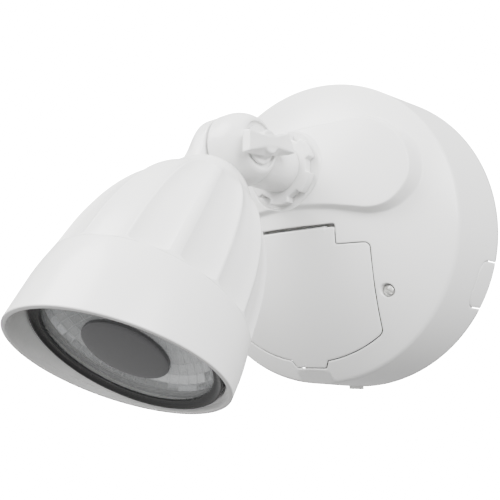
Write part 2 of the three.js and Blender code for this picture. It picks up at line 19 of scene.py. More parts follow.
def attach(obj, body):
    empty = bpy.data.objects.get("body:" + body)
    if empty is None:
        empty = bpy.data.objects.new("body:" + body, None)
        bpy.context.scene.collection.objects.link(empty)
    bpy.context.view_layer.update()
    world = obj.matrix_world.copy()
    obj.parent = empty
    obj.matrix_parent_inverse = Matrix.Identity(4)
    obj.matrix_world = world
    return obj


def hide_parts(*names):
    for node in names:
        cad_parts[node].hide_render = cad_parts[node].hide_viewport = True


bl_info = {
    "name": "Outdoor Floodlight",
    "version": (1, 0, 0),
    "blender": (4, 5, 0),
    "location": "View3D > Sidebar > Floodlight",
    "description": "Builds a wall floodlight's shells, arm, head and finishes round its CAD frame",
    "category": "Object",
}

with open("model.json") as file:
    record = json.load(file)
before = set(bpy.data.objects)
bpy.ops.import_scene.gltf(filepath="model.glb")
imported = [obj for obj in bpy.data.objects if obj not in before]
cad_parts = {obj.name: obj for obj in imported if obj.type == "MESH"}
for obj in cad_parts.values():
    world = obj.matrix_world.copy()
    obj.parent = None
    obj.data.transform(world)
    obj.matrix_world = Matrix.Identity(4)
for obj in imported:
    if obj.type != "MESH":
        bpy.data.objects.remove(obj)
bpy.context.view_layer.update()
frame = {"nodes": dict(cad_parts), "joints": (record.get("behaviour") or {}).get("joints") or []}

MM = 0.001
JOINTS = {joint["name"]: joint for joint in frame["joints"]}
HINGE_POINT = Vector(JOINTS["head_tilt"]["pos_m"])
HINGE_AXIS = Vector(JOINTS["head_tilt"]["axis"]).normalized()
ARM_HEIGHT = JOINTS["arm_swivel"]["pos_m"][2]
HEAD_TILT = math.radians(53.64)  # head axis below the horizontal, as stored


# ---------------------------------------------------------------- settings
def length(name, description, default):
    """A size in metres."""
    return FloatProperty(name=name, description=description, default=default, unit="LENGTH", precision=5)


def tint(name, description, default):
    """A linear colour."""
    return FloatVectorProperty(
        name=name, description=description, default=default, size=3, subtype="COLOR", min=0, max=1
    )


class BaseSizes(bpy.types.PropertyGroup):
    """Sizes of the round wall base and its door."""

    back_radius: length("Back radius", "Radius of the rim on the wall", 0.080)
    front_radius: length("Front radius", "Radius where the side wall meets the face", 0.076)
    side_height: length("Side height", "Height of the side wall", 0.041)
    dome_rise: length("Dome rise", "Rise of the face over the side wall", 0.0242)
    boss_apex: length("Boss apex", "Height of the boss's crown over the wall", 0.0668)
    boss_fall: length("Boss fall", "How far the boss's crown falls by the front radius", 0.015)
    boss_draft: length("Boss draft", "Run of the boss's sloped wall", 0.0021)
    wall: length("Wall", "Wall thickness of the shell and the door", 0.0016)
    door_gap: length("Door gap", "Gap between the door and the shell", 0.00042)


class ArmSizes(bpy.types.PropertyGroup):
    """Sizes of the arm, its ring nut and its wing screw."""

    seat: length("Nut seat", "Height of the nut's flat seat over the wall", 0.0646)
    seat_radius: length("Seat radius", "Radius of the nut's flat seat", 0.0193)
    tube_radius: length("Tube radius", "Radius of the arm's tube", 0.0119)
    thread_radius: length("Thread radius", "Radius of the arm's thread", 0.0102)
    lug_radius: length("Lug radius", "Radius of the knuckle's lug", 0.0164)
    nut_radius: length("Nut radius", "Outer radius of the ring nut", 0.0176)
    nut_notches: IntProperty(name="Nut notches", description="Notches round the ring nut", default=6)
    wing_half: length("Wing half length", "From the screw's axis to a wing's tip", 0.0172)


class HeadSizes(bpy.types.PropertyGroup):
    """Sizes of the lamp head."""

    offset: length("Axis offset", "Head axis in front of the hinge", 0.0034)
    collar: length("Collar", "Rear edge of the shroud from the hinge", 0.0914)
    rim: length("Rim", "Middle of the shroud's rim from the hinge", 0.1153)
    rim_slant: FloatProperty(
        name="Rim slant", description="Slant of the shroud's rim", default=math.radians(8.13), unit="ROTATION"
    )
    lens_radius: length("Lens radius", "Radius of the lens", 0.0358)
    lens_back: length("Lens back", "Back of the lens from the hinge", 0.1052)
    lens_front: length("Lens front", "Front of the lens from the hinge", 0.1077)
    cap_radius: length("Cap radius", "Radius of the disc in the middle of the lens", 0.0164)
    ribs: IntProperty(name="Ribs", description="Ribs round the bell", default=15)
    flute_depth: length("Flute depth", "Depth of the flutes between the ribs", 0.0017)


class FinishSettings(bpy.types.PropertyGroup):
    """Colours and gloss of the moulded parts."""

    white: tint("White", "Housing plastic", (0.83, 0.83, 0.842))
    inner_white: tint("Inner white", "Plastic behind the door", (0.74, 0.74, 0.72))
    cap: tint("Cap", "Smoked disc in the lens", (0.075, 0.077, 0.082))
    retainer: tint("Retainer", "Ring round the lens", (0.022, 0.023, 0.026))
    gloss: FloatProperty(
        name="Roughness", description="Roughness of the housing", default=0.36, subtype="FACTOR", min=0, max=1
    )


class StageSettings(bpy.types.PropertyGroup):
    """Camera and studio."""

    lens: FloatProperty(name="Lens", description="Focal length", default=48.0, unit="CAMERA")
    azimuth: FloatProperty(
        name="Azimuth",
        description="Camera's turn round the lamp",
        default=math.radians(37.31),
        unit="ROTATION",
    )
    elevation: FloatProperty(
        name="Elevation", description="Camera over the horizon", default=math.radians(-7.79), unit="ROTATION"
    )
    roll: FloatProperty(
        name="Roll", description="Camera's roll", default=math.radians(-0.99), unit="ROTATION"
    )
    key_power: FloatProperty(name="Key", description="Key light", default=52.0, unit="POWER")
    fill_power: FloatProperty(name="Fill", description="Fill light", default=24.0, unit="POWER")
    floor_drop: length("Floor drop", "Floor below the base's centre", 0.72)


class FloodlightSettings(bpy.types.PropertyGroup):
    """All settings of the floodlight."""

    base: PointerProperty(type=BaseSizes)
    arm: PointerProperty(type=ArmSizes)
    head: PointerProperty(type=HeadSizes)
    finish: PointerProperty(type=FinishSettings)
    stage: PointerProperty(type=StageSettings)


def settings():
    return bpy.context.scene.floodlight


def mm(metres):
    return metres / MM


# ---------------------------------------------------------------- frames
def base_frame():
    return Matrix.Identity(4)


def arm_frame():
    up = HINGE_AXIS.cross(Vector((0, 1, 0)))
    turn = Matrix((HINGE_AXIS, Vector((0, 1, 0)), up)).transposed()
    return Matrix.Translation((0, 0, ARM_HEIGHT)) @ turn.to_4x4()


def head_frame():
    up = HINGE_AXIS.cross(Vector((0, 1, 0)))
    forward = Vector((0, -math.cos(HEAD_TILT), 0)) - up * math.sin(HEAD_TILT)
    turn = Matrix((HINGE_AXIS, forward, HINGE_AXIS.cross(forward))).transposed()
    return Matrix.Translation(HINGE_POINT) @ turn.to_4x4()


def hinge_in_arm():
    """The tilt hinge in the arm's frame, in millimetres."""
    return arm_frame().inverted() @ HINGE_POINT / MM


# ---------------------------------------------------------------- mesh tools
def smoothstep(t):
    t = np.clip(t, 0, 1)
    return t * t * (3 - 2 * t)


def smooth_curve(table, at):
    """Smooth curve through the (place, value) pairs of table."""
    place, value = np.array(table, float).T
    slope = np.gradient(value, place)
    at = np.clip(at, place[0], place[-1])
    i = np.clip(np.searchsorted(place, at, side="right") - 1, 0, len(place) - 2)
    gap = place[i + 1] - place[i]
    t = (at - place[i]) / gap
    return (
        value[i] * (1 + 2 * t) * (1 - t) ** 2
        + value[i + 1] * t * t * (3 - 2 * t)
        + gap * (slope[i] * t * (1 - t) ** 2 - slope[i + 1] * t * t * (1 - t))
    )


def make_piece(name, points, faces, place, sharp=38.0, outward=None):
    """Object from millimetre points in the frame place. outward is a direction that most faces look to;
    without it the mesh is a closed one and its faces are turned out."""
    mesh = bpy.data.meshes.new(name)
    verts = [tuple(p) for p in np.asarray(points, float) * MM]
    mesh.from_pydata(verts, [], [tuple(map(int, f)) for f in faces])
    mesh.transform(place)
    work = bmesh.new()
    work.from_mesh(mesh)
    bmesh.ops.remove_doubles(work, verts=work.verts, dist=2e-6)
    bmesh.ops.dissolve_degenerate(work, edges=work.edges, dist=1e-7)
    bmesh.ops.recalc_face_normals(work, faces=work.faces)
    if outward is not None:
        facing = sum((f.normal * f.calc_area() for f in work.faces), Vector()).dot(Vector(outward))
        if facing < 0:
            bmesh.ops.reverse_faces(work, faces=work.faces)
    work.to_mesh(mesh)
    work.free()
    mesh.validate()
    mesh.shade_smooth()
    mesh.set_sharp_from_angle(angle=math.radians(sharp))
    piece = bpy.data.objects.new(name, mesh)
    bpy.context.scene.collection.objects.link(piece)
    return piece


def apply_modifiers(piece):
    graph = bpy.context.evaluated_depsgraph_get()
    mesh = bpy.data.meshes.new_from_object(piece.evaluated_get(graph))
    piece.modifiers.clear()
    piece.data = mesh


def thicken(piece, wall):
    """Gives an open sheet its wall, inwards from its faces."""
    solid = piece.modifiers.new("wall", "SOLIDIFY")
    solid.thickness = wall
    solid.offset = -1
    apply_modifiers(piece)


def fit_out(piece, body, slot, *nodes, finish=None):
    """Gives a piece its finish, its body and the CAD nodes that it stands for.
    finish names a finish that isn't the slot's own."""
    piece.data.materials.clear()
    piece.data.materials.append(finish_of(finish or slot))
    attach(piece, body)
    if nodes:
        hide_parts(*nodes)
    return piece


def turned_mesh(profile, columns=144, turn_of=None):
    """Points and faces of a closed (radius, y) outline turned about the y axis."""
    profile = np.array(profile, float)
    rows = len(profile)
    angle = np.linspace(0, 2 * math.pi, columns, endpoint=False)
    points = np.empty((columns, rows, 3))
    points[:, :, 0] = np.cos(angle)[:, None] * profile[:, 0]
    points[:, :, 1] = profile[:, 1] if turn_of is None else turn_of(profile, angle)
    points[:, :, 2] = np.sin(angle)[:, None] * profile[:, 0]
    faces = []
    for c in range(columns):
        left, right = c * rows, (c + 1) % columns * rows
        for r in range(rows):
            nxt = (r + 1) % rows
            if profile[r, 0] < 1e-6 and profile[nxt, 0] < 1e-6:
                continue
            faces.append((left + r, left + nxt, right + nxt, right + r))
    return points.reshape(-1, 3), faces


def rounded_outline(corners, step=0.8):
    """Closed outline through (x, y, radius) corners, each rounded by its radius, sampled about every step."""
    corners = [np.array(c, float) for c in corners]
    path = []
    for i, corner in enumerate(corners):
        before, after = corners[i - 1][:2], corners[(i + 1) % len(corners)][:2]
        here, radius = corner[:2], corner[2]
        into, out = here - before, after - here
        into, out = into / np.linalg.norm(into), out / np.linalg.norm(out)
        turn = math.acos(max(-1, min(1, float(into @ out))))
        if radius <= 0 or turn < 0.02:
            path.append(here)
            continue
        reach = radius * math.tan(turn / 2)
        start = here - into * reach
        side = 1 if into[0] * out[1] - into[1] * out[0] > 0 else -1
        centre = start + side * radius * np.array([-into[1], into[0]])
        steps = max(3, int(radius * turn / min(step, 0.5)) + 2)
        first = math.atan2(*(start - centre)[::-1])
        for t in np.linspace(0, 1, steps):
            a = first + side * turn * t
            path.append(centre + radius * np.array([math.cos(a), math.sin(a)]))
    return resample(np.array(path), step)


def resample(path, step, closed=True):
    """Adds points to the long straight stretches of a path."""
    out = []
    count = len(path) if closed else len(path) - 1
    for i in range(count):
        a, b = path[i], path[(i + 1) % len(path)]
        n = max(1, int(math.ceil(np.linalg.norm(b - a) / step)))
        out.extend(a + (b - a) * t for t in np.arange(n) / n)
    if not closed:
        out.append(path[-1])
    return np.array(out)


def edge_distance(points, loop):
    """Distance of each point to a closed loop, negative inside it."""
    best = np.full(len(points), 1e9)
    inside = np.zeros(len(points), bool)
    x, y = points[:, 0], points[:, 1]
    for a, b in zip(loop, np.roll(loop, -1, axis=0)):
        ab = b - a
        t = np.clip(((points - a) @ ab) / max(ab @ ab, 1e-12), 0, 1)
        best = np.minimum(best, np.hypot(x - a[0] - t * ab[0], y - a[1] - t * ab[1]))
        if a[1] != b[1]:
            inside ^= ((a[1] > y) != (b[1] > y)) & (x < (b[0] - a[0]) * (y - a[1]) / (b[1] - a[1]) + a[0])
    return np.where(inside, -best, best)


def offset_loop(loop, distance):
    """A smooth closed loop moved outwards by distance."""
    along = np.roll(loop, -1, axis=0) - np.roll(loop, 1, axis=0)
    normal = np.column_stack((along[:, 1], -along[:, 0]))
    normal /= np.linalg.norm(normal, axis=1)[:, None]
    area = 0.5 * np.sum(loop[:, 0] * np.roll(loop[:, 1], -1) - np.roll(loop[:, 0], -1) * loop[:, 1])
    return loop + normal * (distance if area > 0 else -distance)


def round_loop(x, y, radius, count=96):
    a = np.linspace(0, 2 * math.pi, count, endpoint=False)
    return np.column_stack((x + radius * np.cos(a), y + radius * np.sin(a)))


def hex_points(x0, x1, y0, y1, step):
    rows = []
    for i, y in enumerate(np.arange(y0, y1, step * 0.866)):
        x = np.arange(x0 + (i % 2) * step / 2, x1, step)
        rows.append(np.column_stack((x, np.full(len(x), y))))
    return np.vstack(rows)


def tile(loops, loose, keep):
    """Triangles over closed constraint loops and loose points; keep says which centres stay."""
    points, edges = [], []
    for loop in loops:
        start = len(points)
        points.extend(loop)
        edges.extend((start + i, start + (i + 1) % len(loop)) for i in range(len(loop)))
    points.extend(loose)
    verts, _, faces, *_ = delaunay_2d_cdt([Vector((p[0], p[1])) for p in points], edges, [], 0, 1e-6)
    verts = np.array([(v.x, v.y) for v in verts])
    faces = np.array(faces)
    centres = verts[faces].mean(axis=1)
    return verts, faces[keep(centres)]


# ---------------------------------------------------------------- solid fields
def soft_union(a, b, blend):
    h = np.clip(0.5 + 0.5 * (b - a) / blend, 0, 1)
    return b + (a - b) * h - blend * h * (1 - h)


def soft_cut(a, b, blend):
    """a without b."""
    return -soft_union(-a, b, blend)


def soft_common(a, b, blend):
    return -soft_union(-a, -b, blend)


def rounded_bar(across, along, radius, low, high, edge):
    """Round bar from its distance across and its place along, with rounded ends."""
    d1 = across - radius + edge
    d2 = np.abs(along - (low + high) / 2) - (high - low) / 2 + edge
    return np.hypot(np.maximum(d1, 0), np.maximum(d2, 0)) + np.minimum(np.maximum(d1, d2), 0) - edge


def rounded_block(x, y, z, low, high, edge):
    parts = []
    for value, a, b in zip((x, y, z), low, high):
        parts.append(np.abs(value - (a + b) / 2) - (b - a) / 2 + edge)
    outside = np.sqrt(sum(np.maximum(d, 0) ** 2 for d in parts))
    return outside + np.minimum(np.maximum(np.maximum(parts[0], parts[1]), parts[2]), 0) - edge


def field_mesh(field, low, high, step):
    """Points and quads of the zero surface of field(x, y, z), which is negative inside."""
    axes = [np.arange(a, b + step, step) for a, b in zip(low, high)]
    grid = np.meshgrid(*axes, indexing="ij")
    value = field(*grid)
    inside = value < 0
    corners = [(i, j, k) for i in (0, 1) for j in (0, 1) for k in (0, 1)]
    shape = tuple(n - 1 for n in value.shape)

    def corner(array, c):
        return array[tuple(slice(o, o + n) for o, n in zip(c, shape))]

    count = sum(corner(inside, c).astype(np.int8) for c in corners)
    cells = np.argwhere((count > 0) & (count < 8))
    index = np.full(shape, -1, np.int64)
    index[tuple(cells.T)] = np.arange(len(cells))
    total = np.zeros((len(cells), 3))
    hits = np.zeros(len(cells))
    for a in corners:
        for axis in range(3):
            if a[axis]:
                continue
            b = tuple(1 if n == axis else a[n] for n in range(3))
            va = value[tuple((cells + a).T)]
            vb = value[tuple((cells + b).T)]
            crossed = (va < 0) != (vb < 0)
            t = np.where(crossed, va / np.where(crossed, va - vb, 1), 0)
            point = cells + np.array(a) + t[:, None] * np.eye(3)[axis]
            total += point * crossed[:, None]
            hits += crossed
    points = total / hits[:, None] * step + np.array(low)
    for _ in range(3):
        points = pull_to_surface(field, points, step)
    faces = []
    for axis in range(3):
        one, two = [n for n in range(3) if n != axis]
        start = inside[tuple(slice(0, -1) if n == axis else slice(1, -1) for n in range(3))]
        end = inside[tuple(slice(1, None) if n == axis else slice(1, -1) for n in range(3))]
        for flip in (False, True):
            at = np.argwhere(start & ~end if not flip else ~start & end)
            at = at + np.array([0 if n == axis else 1 for n in range(3)])
            ring = []
            for d1, d2 in ((0, 0), (-1, 0), (-1, -1), (0, -1)):
                cell = at.copy()
                cell[:, one] += d1
                cell[:, two] += d2
                ring.append(index[tuple(cell.T)])
            quad = np.column_stack(ring)
            faces.append(quad[:, ::-1] if flip else quad)
    return points, np.vstack(faces)


def pull_to_surface(field, points, step):
    """Moves points onto the zero surface along its slope."""
    small = step * 0.2
    value = field(*points.T)
    slope = np.empty_like(points)
    for n in range(3):
        ahead, behind = points.copy(), points.copy()
        ahead[:, n] += small
        behind[:, n] -= small
        slope[:, n] = (field(*ahead.T) - field(*behind.T)) / (2 * small)
    size = np.maximum((slope**2).sum(axis=1), 0.25)
    move = -slope * (value / size)[:, None]
    far = np.maximum(np.linalg.norm(move, axis=1) / (0.4 * step), 1)
    return points + move / far[:, None]


# ---------------------------------------------------------------- finishes
def node_material(name):
    material = bpy.data.materials.new(name)
    material.use_nodes = True
    nodes = material.node_tree.nodes
    return material, nodes, material.node_tree.links, nodes["Principled BSDF"]


def noise(nodes, links, scale, detail=3.0, stretch=None):
    place = nodes.new("ShaderNodeTexCoord").outputs["Object"]
    if stretch is not None:
        mapping = nodes.new("ShaderNodeMapping")
        mapping.inputs["Scale"].default_value = stretch
        links.new(place, mapping.inputs["Vector"])
        place = mapping.outputs["Vector"]
    texture = nodes.new("ShaderNodeTexNoise")
    texture.inputs["Scale"].default_value = scale
    texture.inputs["Detail"].default_value = detail
    links.new(place, texture.inputs["Vector"])
    return texture.outputs["Fac"]


def spread(nodes, links, value, low, high):
    """A noise value spread from low to high."""
    remap = nodes.new("ShaderNodeMapRange")
    remap.inputs["From Min"].default_value = 0.3
    remap.inputs["From Max"].default_value = 0.7
    remap.inputs["To Min"].default_value = low
    remap.inputs["To Max"].default_value = high
    links.new(value, remap.inputs["Value"])
    return remap.outputs["Result"]


def shade(nodes, links, value, dark, light):
    ramp = nodes.new("ShaderNodeValToRGB")
    ramp.color_ramp.elements[0].position = 0.35
    ramp.color_ramp.elements[0].color = (*dark, 1)
    ramp.color_ramp.elements[1].position = 0.65
    ramp.color_ramp.elements[1].color = (*light, 1)
    links.new(value, ramp.inputs["Fac"])
    return ramp.outputs["Color"]


def bump(nodes, links, value, shader, strength, depth):
    node = nodes.new("ShaderNodeBump")
    node.inputs["Strength"].default_value = strength
    node.inputs["Distance"].default_value = depth
    links.new(value, node.inputs["Height"])
    links.new(node.outputs["Normal"], shader.inputs["Normal"])


def moulded(name, colour, roughness, vary=0.03, grain=1500.0, relief=0.12, uneven=0.05):
    """Moulded plastic: faint flow marks in its colour, uneven gloss and a fine grain."""
    material, nodes, links, shader = node_material(name)
    dark = tuple(c * (1 - vary) for c in colour)
    links.new(shade(nodes, links, noise(nodes, links, 45), dark, tuple(colour)), shader.inputs["Base Color"])
    gloss = spread(nodes, links, noise(nodes, links, 190), roughness - uneven, roughness + uneven)
    links.new(gloss, shader.inputs["Roughness"])
    bump(nodes, links, noise(nodes, links, grain, 2.0), shader, relief, 0.00004)
    return material


def metal(name, colour, roughness, vary=0.12, stretch=(1, 1, 1), grain=900.0, relief=0.1):
    material, nodes, links, shader = node_material(name)
    dark = tuple(c * (1 - vary) for c in colour)
    tone = shade(nodes, links, noise(nodes, links, 160, 4.0, stretch), dark, colour)
    links.new(tone, shader.inputs["Base Color"])
    gloss = spread(nodes, links, noise(nodes, links, 420, 3.0, stretch), roughness * 0.75, roughness * 1.3)
    links.new(gloss, shader.inputs["Roughness"])
    bump(nodes, links, noise(nodes, links, grain, 3.0, stretch), shader, relief, 0.00003)
    shader.inputs["Metallic"].default_value = 1.0
    return material


def rubber(name, colour):
    return moulded(name, colour, 0.78, vary=0.2, grain=2600.0, relief=0.5, uneven=0.08)


def clear_plastic(name):
    material, nodes, links, shader = node_material(name)
    links.new(
        shade(nodes, links, noise(nodes, links, 60), (0.90, 0.93, 0.94), (0.97, 0.98, 0.98)),
        shader.inputs["Base Color"],
    )
    links.new(spread(nodes, links, noise(nodes, links, 150), 0.03, 0.07), shader.inputs["Roughness"])
    shader.inputs["Alpha"].default_value = 0.05
    shader.inputs["IOR"].default_value = 1.58
    return material


def circuit_board(name, colour):
    """Solder mask with traces showing through as slightly lighter lines."""
    material, nodes, links, shader = node_material(name)
    cells = nodes.new("ShaderNodeTexVoronoi")
    cells.distance = "MANHATTAN"
    cells.feature = "DISTANCE_TO_EDGE"
    cells.inputs["Scale"].default_value = 260
    place = nodes.new("ShaderNodeTexCoord").outputs["Object"]
    links.new(place, cells.inputs["Vector"])
    light = tuple(min(1, c * 1.7 + 0.01) for c in colour)
    tone = shade(nodes, links, cells.outputs["Distance"], light, tuple(colour))
    links.new(tone, shader.inputs["Base Color"])
    links.new(spread(nodes, links, noise(nodes, links, 300), 0.28, 0.4), shader.inputs["Roughness"])
    bump(nodes, links, cells.outputs["Distance"], shader, 0.2, 0.00005)
    return material


def wound_copper(name):
    material, nodes, links, shader = node_material(name)
    bands = nodes.new("ShaderNodeTexWave")
    bands.inputs["Scale"].default_value = 220
    bands.inputs["Distortion"].default_value = 1.5
    links.new(nodes.new("ShaderNodeTexCoord").outputs["Object"], bands.inputs["Vector"])
    links.new(
        shade(nodes, links, bands.outputs["Fac"], (0.16, 0.05, 0.015), (0.62, 0.25, 0.09)),
        shader.inputs["Base Color"],
    )
    bump(nodes, links, bands.outputs["Fac"], shader, 0.8, 0.0002)
    shader.inputs["Metallic"].default_value = 0.8
    shader.inputs["Roughness"].default_value = 0.3
    return material


def finish_of(slot):
    """The finish of a record's material slot, made once."""
    if slot in bpy.data.materials:
        return bpy.data.materials[slot]
    look = settings().finish
    makers = {
        "white_housing": lambda: moulded(slot, look.white, look.gloss, vary=0.02),
        "white_inner": lambda: moulded(slot, look.inner_white, 0.5),
        "black_rubber": lambda: rubber(slot, (0.022, 0.022, 0.024)),
        "grey_nylon": lambda: moulded(slot, (0.33, 0.33, 0.32), 0.55),
        "zinc_steel": lambda: metal(slot, (0.62, 0.62, 0.60), 0.32, stretch=(1, 1, 6)),
        "green_screw": lambda: metal(slot, (0.05, 0.26, 0.10), 0.38),
        "spreader_aluminium": lambda: metal(slot, (0.72, 0.72, 0.73), 0.3),
        # reflector_chrome is painted near black, a painted dark reflection in place of the surround a bright
        # chrome bowl mirrors; its ridges keep a light chrome colour
        "reflector_chrome": lambda: metal(slot, (0.06, 0.06, 0.065), 0.06, vary=0.05, relief=0.0),
        "reflector_ridge": lambda: metal(slot, (0.93, 0.93, 0.95), 0.42, vary=0.04),
        "clear_lens": lambda: clear_plastic(slot),
        "smoked_cap": lambda: moulded(slot, look.cap, 0.3, vary=0.12, relief=0.06),
        "dark_retainer": lambda: moulded(slot, look.retainer, 0.4, vary=0.15, relief=0.08),
        "green_board": lambda: circuit_board(slot, (0.015, 0.13, 0.05)),
        "white_board": lambda: moulded(slot, (0.75, 0.75, 0.72), 0.4),
        "phosphor": lambda: moulded(slot, (0.80, 0.58, 0.08), 0.45, vary=0.15),
        "black_component": lambda: moulded(slot, (0.02, 0.021, 0.024), 0.42, vary=0.2),
        "transformer_tape": lambda: moulded(slot, (0.62, 0.42, 0.04), 0.3, vary=0.1),
        "copper_winding": lambda: wound_copper(slot),
        "terminal_nylon": lambda: moulded(slot, (0.75, 0.70, 0.56), 0.5),
    }
    return makers[slot]()


# ---------------------------------------------------------------- the base
def dome_height(x, z):
    """Height of the plain domed face over the wall plane."""
    s = settings().base
    return mm(s.side_height) + mm(s.dome_rise) * (1 - (x * x + z * z) / mm(s.front_radius) ** 2)


# Right half of the boss's top edge, from the top middle round the lobe to the bottom middle.
BOSS_EDGE = (
    (0, 47.4), (13.1, 47.3), (24, 47.4), (33.6, 48.4), (41.5, 47.0), (49.7, 41.7), (55.3, 36.0), (58.6, 30.0),
    (60.2, 22.5), (59.4, 15.4), (56.0, 9.8), (50.5, 5.4), (43, 3.9), (33.5, 5.5), (23.9, 7.3),
    (12, 8.5), (0, 9.0),
)


def boss_loop(step=0.9):
    right = [np.array(p, float) for p in BOSS_EDGE]
    left = [p * (-1, 1) for p in right[-2:0:-1]]
    knots = np.array(right + left)
    path = []
    for i in range(len(knots)):
        p0, p1, p2, p3 = (knots[(i + k) % len(knots)] for k in (-1, 0, 1, 2))
        n = max(2, int(np.linalg.norm(p2 - p1) / step))
        for t in np.arange(n) / n:
            path.append(
                p1 + 0.5 * t * (p2 - p0 + t * (2 * p0 - 5 * p1 + 4 * p2 - p3 + t * (3 * (p1 - p2) + p3 - p0)))
            )
    return np.array(path)


DOOR_TAB = 25.0
DOOR_TOP = -3.2
DOOR_SHOULDER = -11.4
DOOR_HALF = 40.2
DOOR_ARC = 65.2
LATCH_HALF = 8.0
LATCH_FLARE = 10.2
LATCH_END = -68.0
SLOT_TOP = -1.4  # the wide gap over the door's tab ends here


def door_loop(grow, top=None, step=0.8):
    """The door's outline grown by grow; top moves the edge of its upper tab."""
    arc = DOOR_ARC + grow
    side = DOOR_HALF - 0.6 + grow
    side_end = -math.sqrt(arc * arc - side * side)
    first, last = math.atan2(side_end, side), -math.acos((LATCH_FLARE + grow) / arc)
    top = DOOR_TOP + grow if top is None else top
    right = [
        (DOOR_TAB + grow, top, 0.9 + max(grow, -0.6)),
        (DOOR_TAB + grow, DOOR_SHOULDER + grow, max(0.9 - grow, 0.2)),
        (DOOR_HALF + grow, DOOR_SHOULDER + grow, 2.6 + max(grow, -2.2)),
        (side, side_end, 4.2 + max(grow, -3)),
    ]
    for a in np.linspace(first, last, 26)[3:-1]:
        right.append((arc * math.cos(a), arc * math.sin(a), 0))
    right += [
        (LATCH_FLARE + grow, arc * math.sin(last), max(0.8 - grow, 0.2)),
        (LATCH_HALF + grow, LATCH_END - grow, 1.0 + max(grow, -0.8)),
    ]
    left = [(-x, z, r) for x, z, r in reversed(right)]
    return rounded_outline(right + left, step)


COVER_SCREW_X = 45.2
COVER_SCREW_Z = -33.0
SCREW_RECESS = 3.0
RECESS_FLOOR = 49.0
EDGE_ROUND = 0.4  # rounding of the edges round the door and the knock-outs
SCOOP_HALF = 9.8
SCOOP_TOP = -68.7
SCOOP_SLOPE = 0.85
FACE_EDGE = 74.5  # the face's mesh ends here, where the rounded corner starts


def scoop(x, y, z):
    """Cuts the finger scoop below the latch: a slope that falls away to the side wall."""
    floor = -dome_height(0, SCOOP_TOP) + SCOOP_SLOPE * (SCOOP_TOP - z)
    reach = smoothstep((SCOOP_HALF + 0.06 * (SCOOP_TOP - z) - np.abs(x)) / 0.9)
    reach = reach * smoothstep((SCOOP_TOP - z) / 0.5)
    return y + reach * np.maximum(floor - y, 0)


def face_height(points, boss_distance):
    """Height over the wall plane of the face with its boss and the nut's seat."""
    s, arm = settings().base, settings().arm
    x, z = points[:, 0], points[:, 1]
    dome = dome_height(x, z)
    crown = mm(s.boss_apex) - mm(s.boss_fall) * (x * x + z * z) / mm(s.front_radius) ** 2
    draft = mm(s.boss_draft)
    height = dome + (crown - dome) * (1 - smoothstep((boss_distance + 0.35) / (draft + 0.7)))
    from_seat = np.hypot(x, z - mm(ARM_HEIGHT)) - mm(arm.seat_radius)
    return height + (mm(arm.seat) - height) * (1 - smoothstep((from_seat + 0.3) / 1.3))


EDGE_RINGS = (0.12, 0.35, 0.8)  # rows of points along a rounded edge, by their distance to it
SEAM_RINGS = EDGE_RINGS[:2]
FACE_DROP = 0.25  # fall of the face and the door at their edges
SEAM_ROUND = 0.35  # rounding of the edges in the side wall
SEAM_DROP = 0.2  # fall of the side wall at those edges
SCREW_RINGS = (0.8, 1.7, 2.5, 2.85, 2.93, 3.0, 3.07, 3.15, 3.35, 3.8)  # radii round a cover screw
COARSE = 1.5  # spacing of the points inside a sheet
FINE = 0.6  # spacing at the finger scoop


def clear_of(points, distance, low, high):
    """The points whose distance is under low or over high."""
    return points[(distance < low) | (distance > high)]


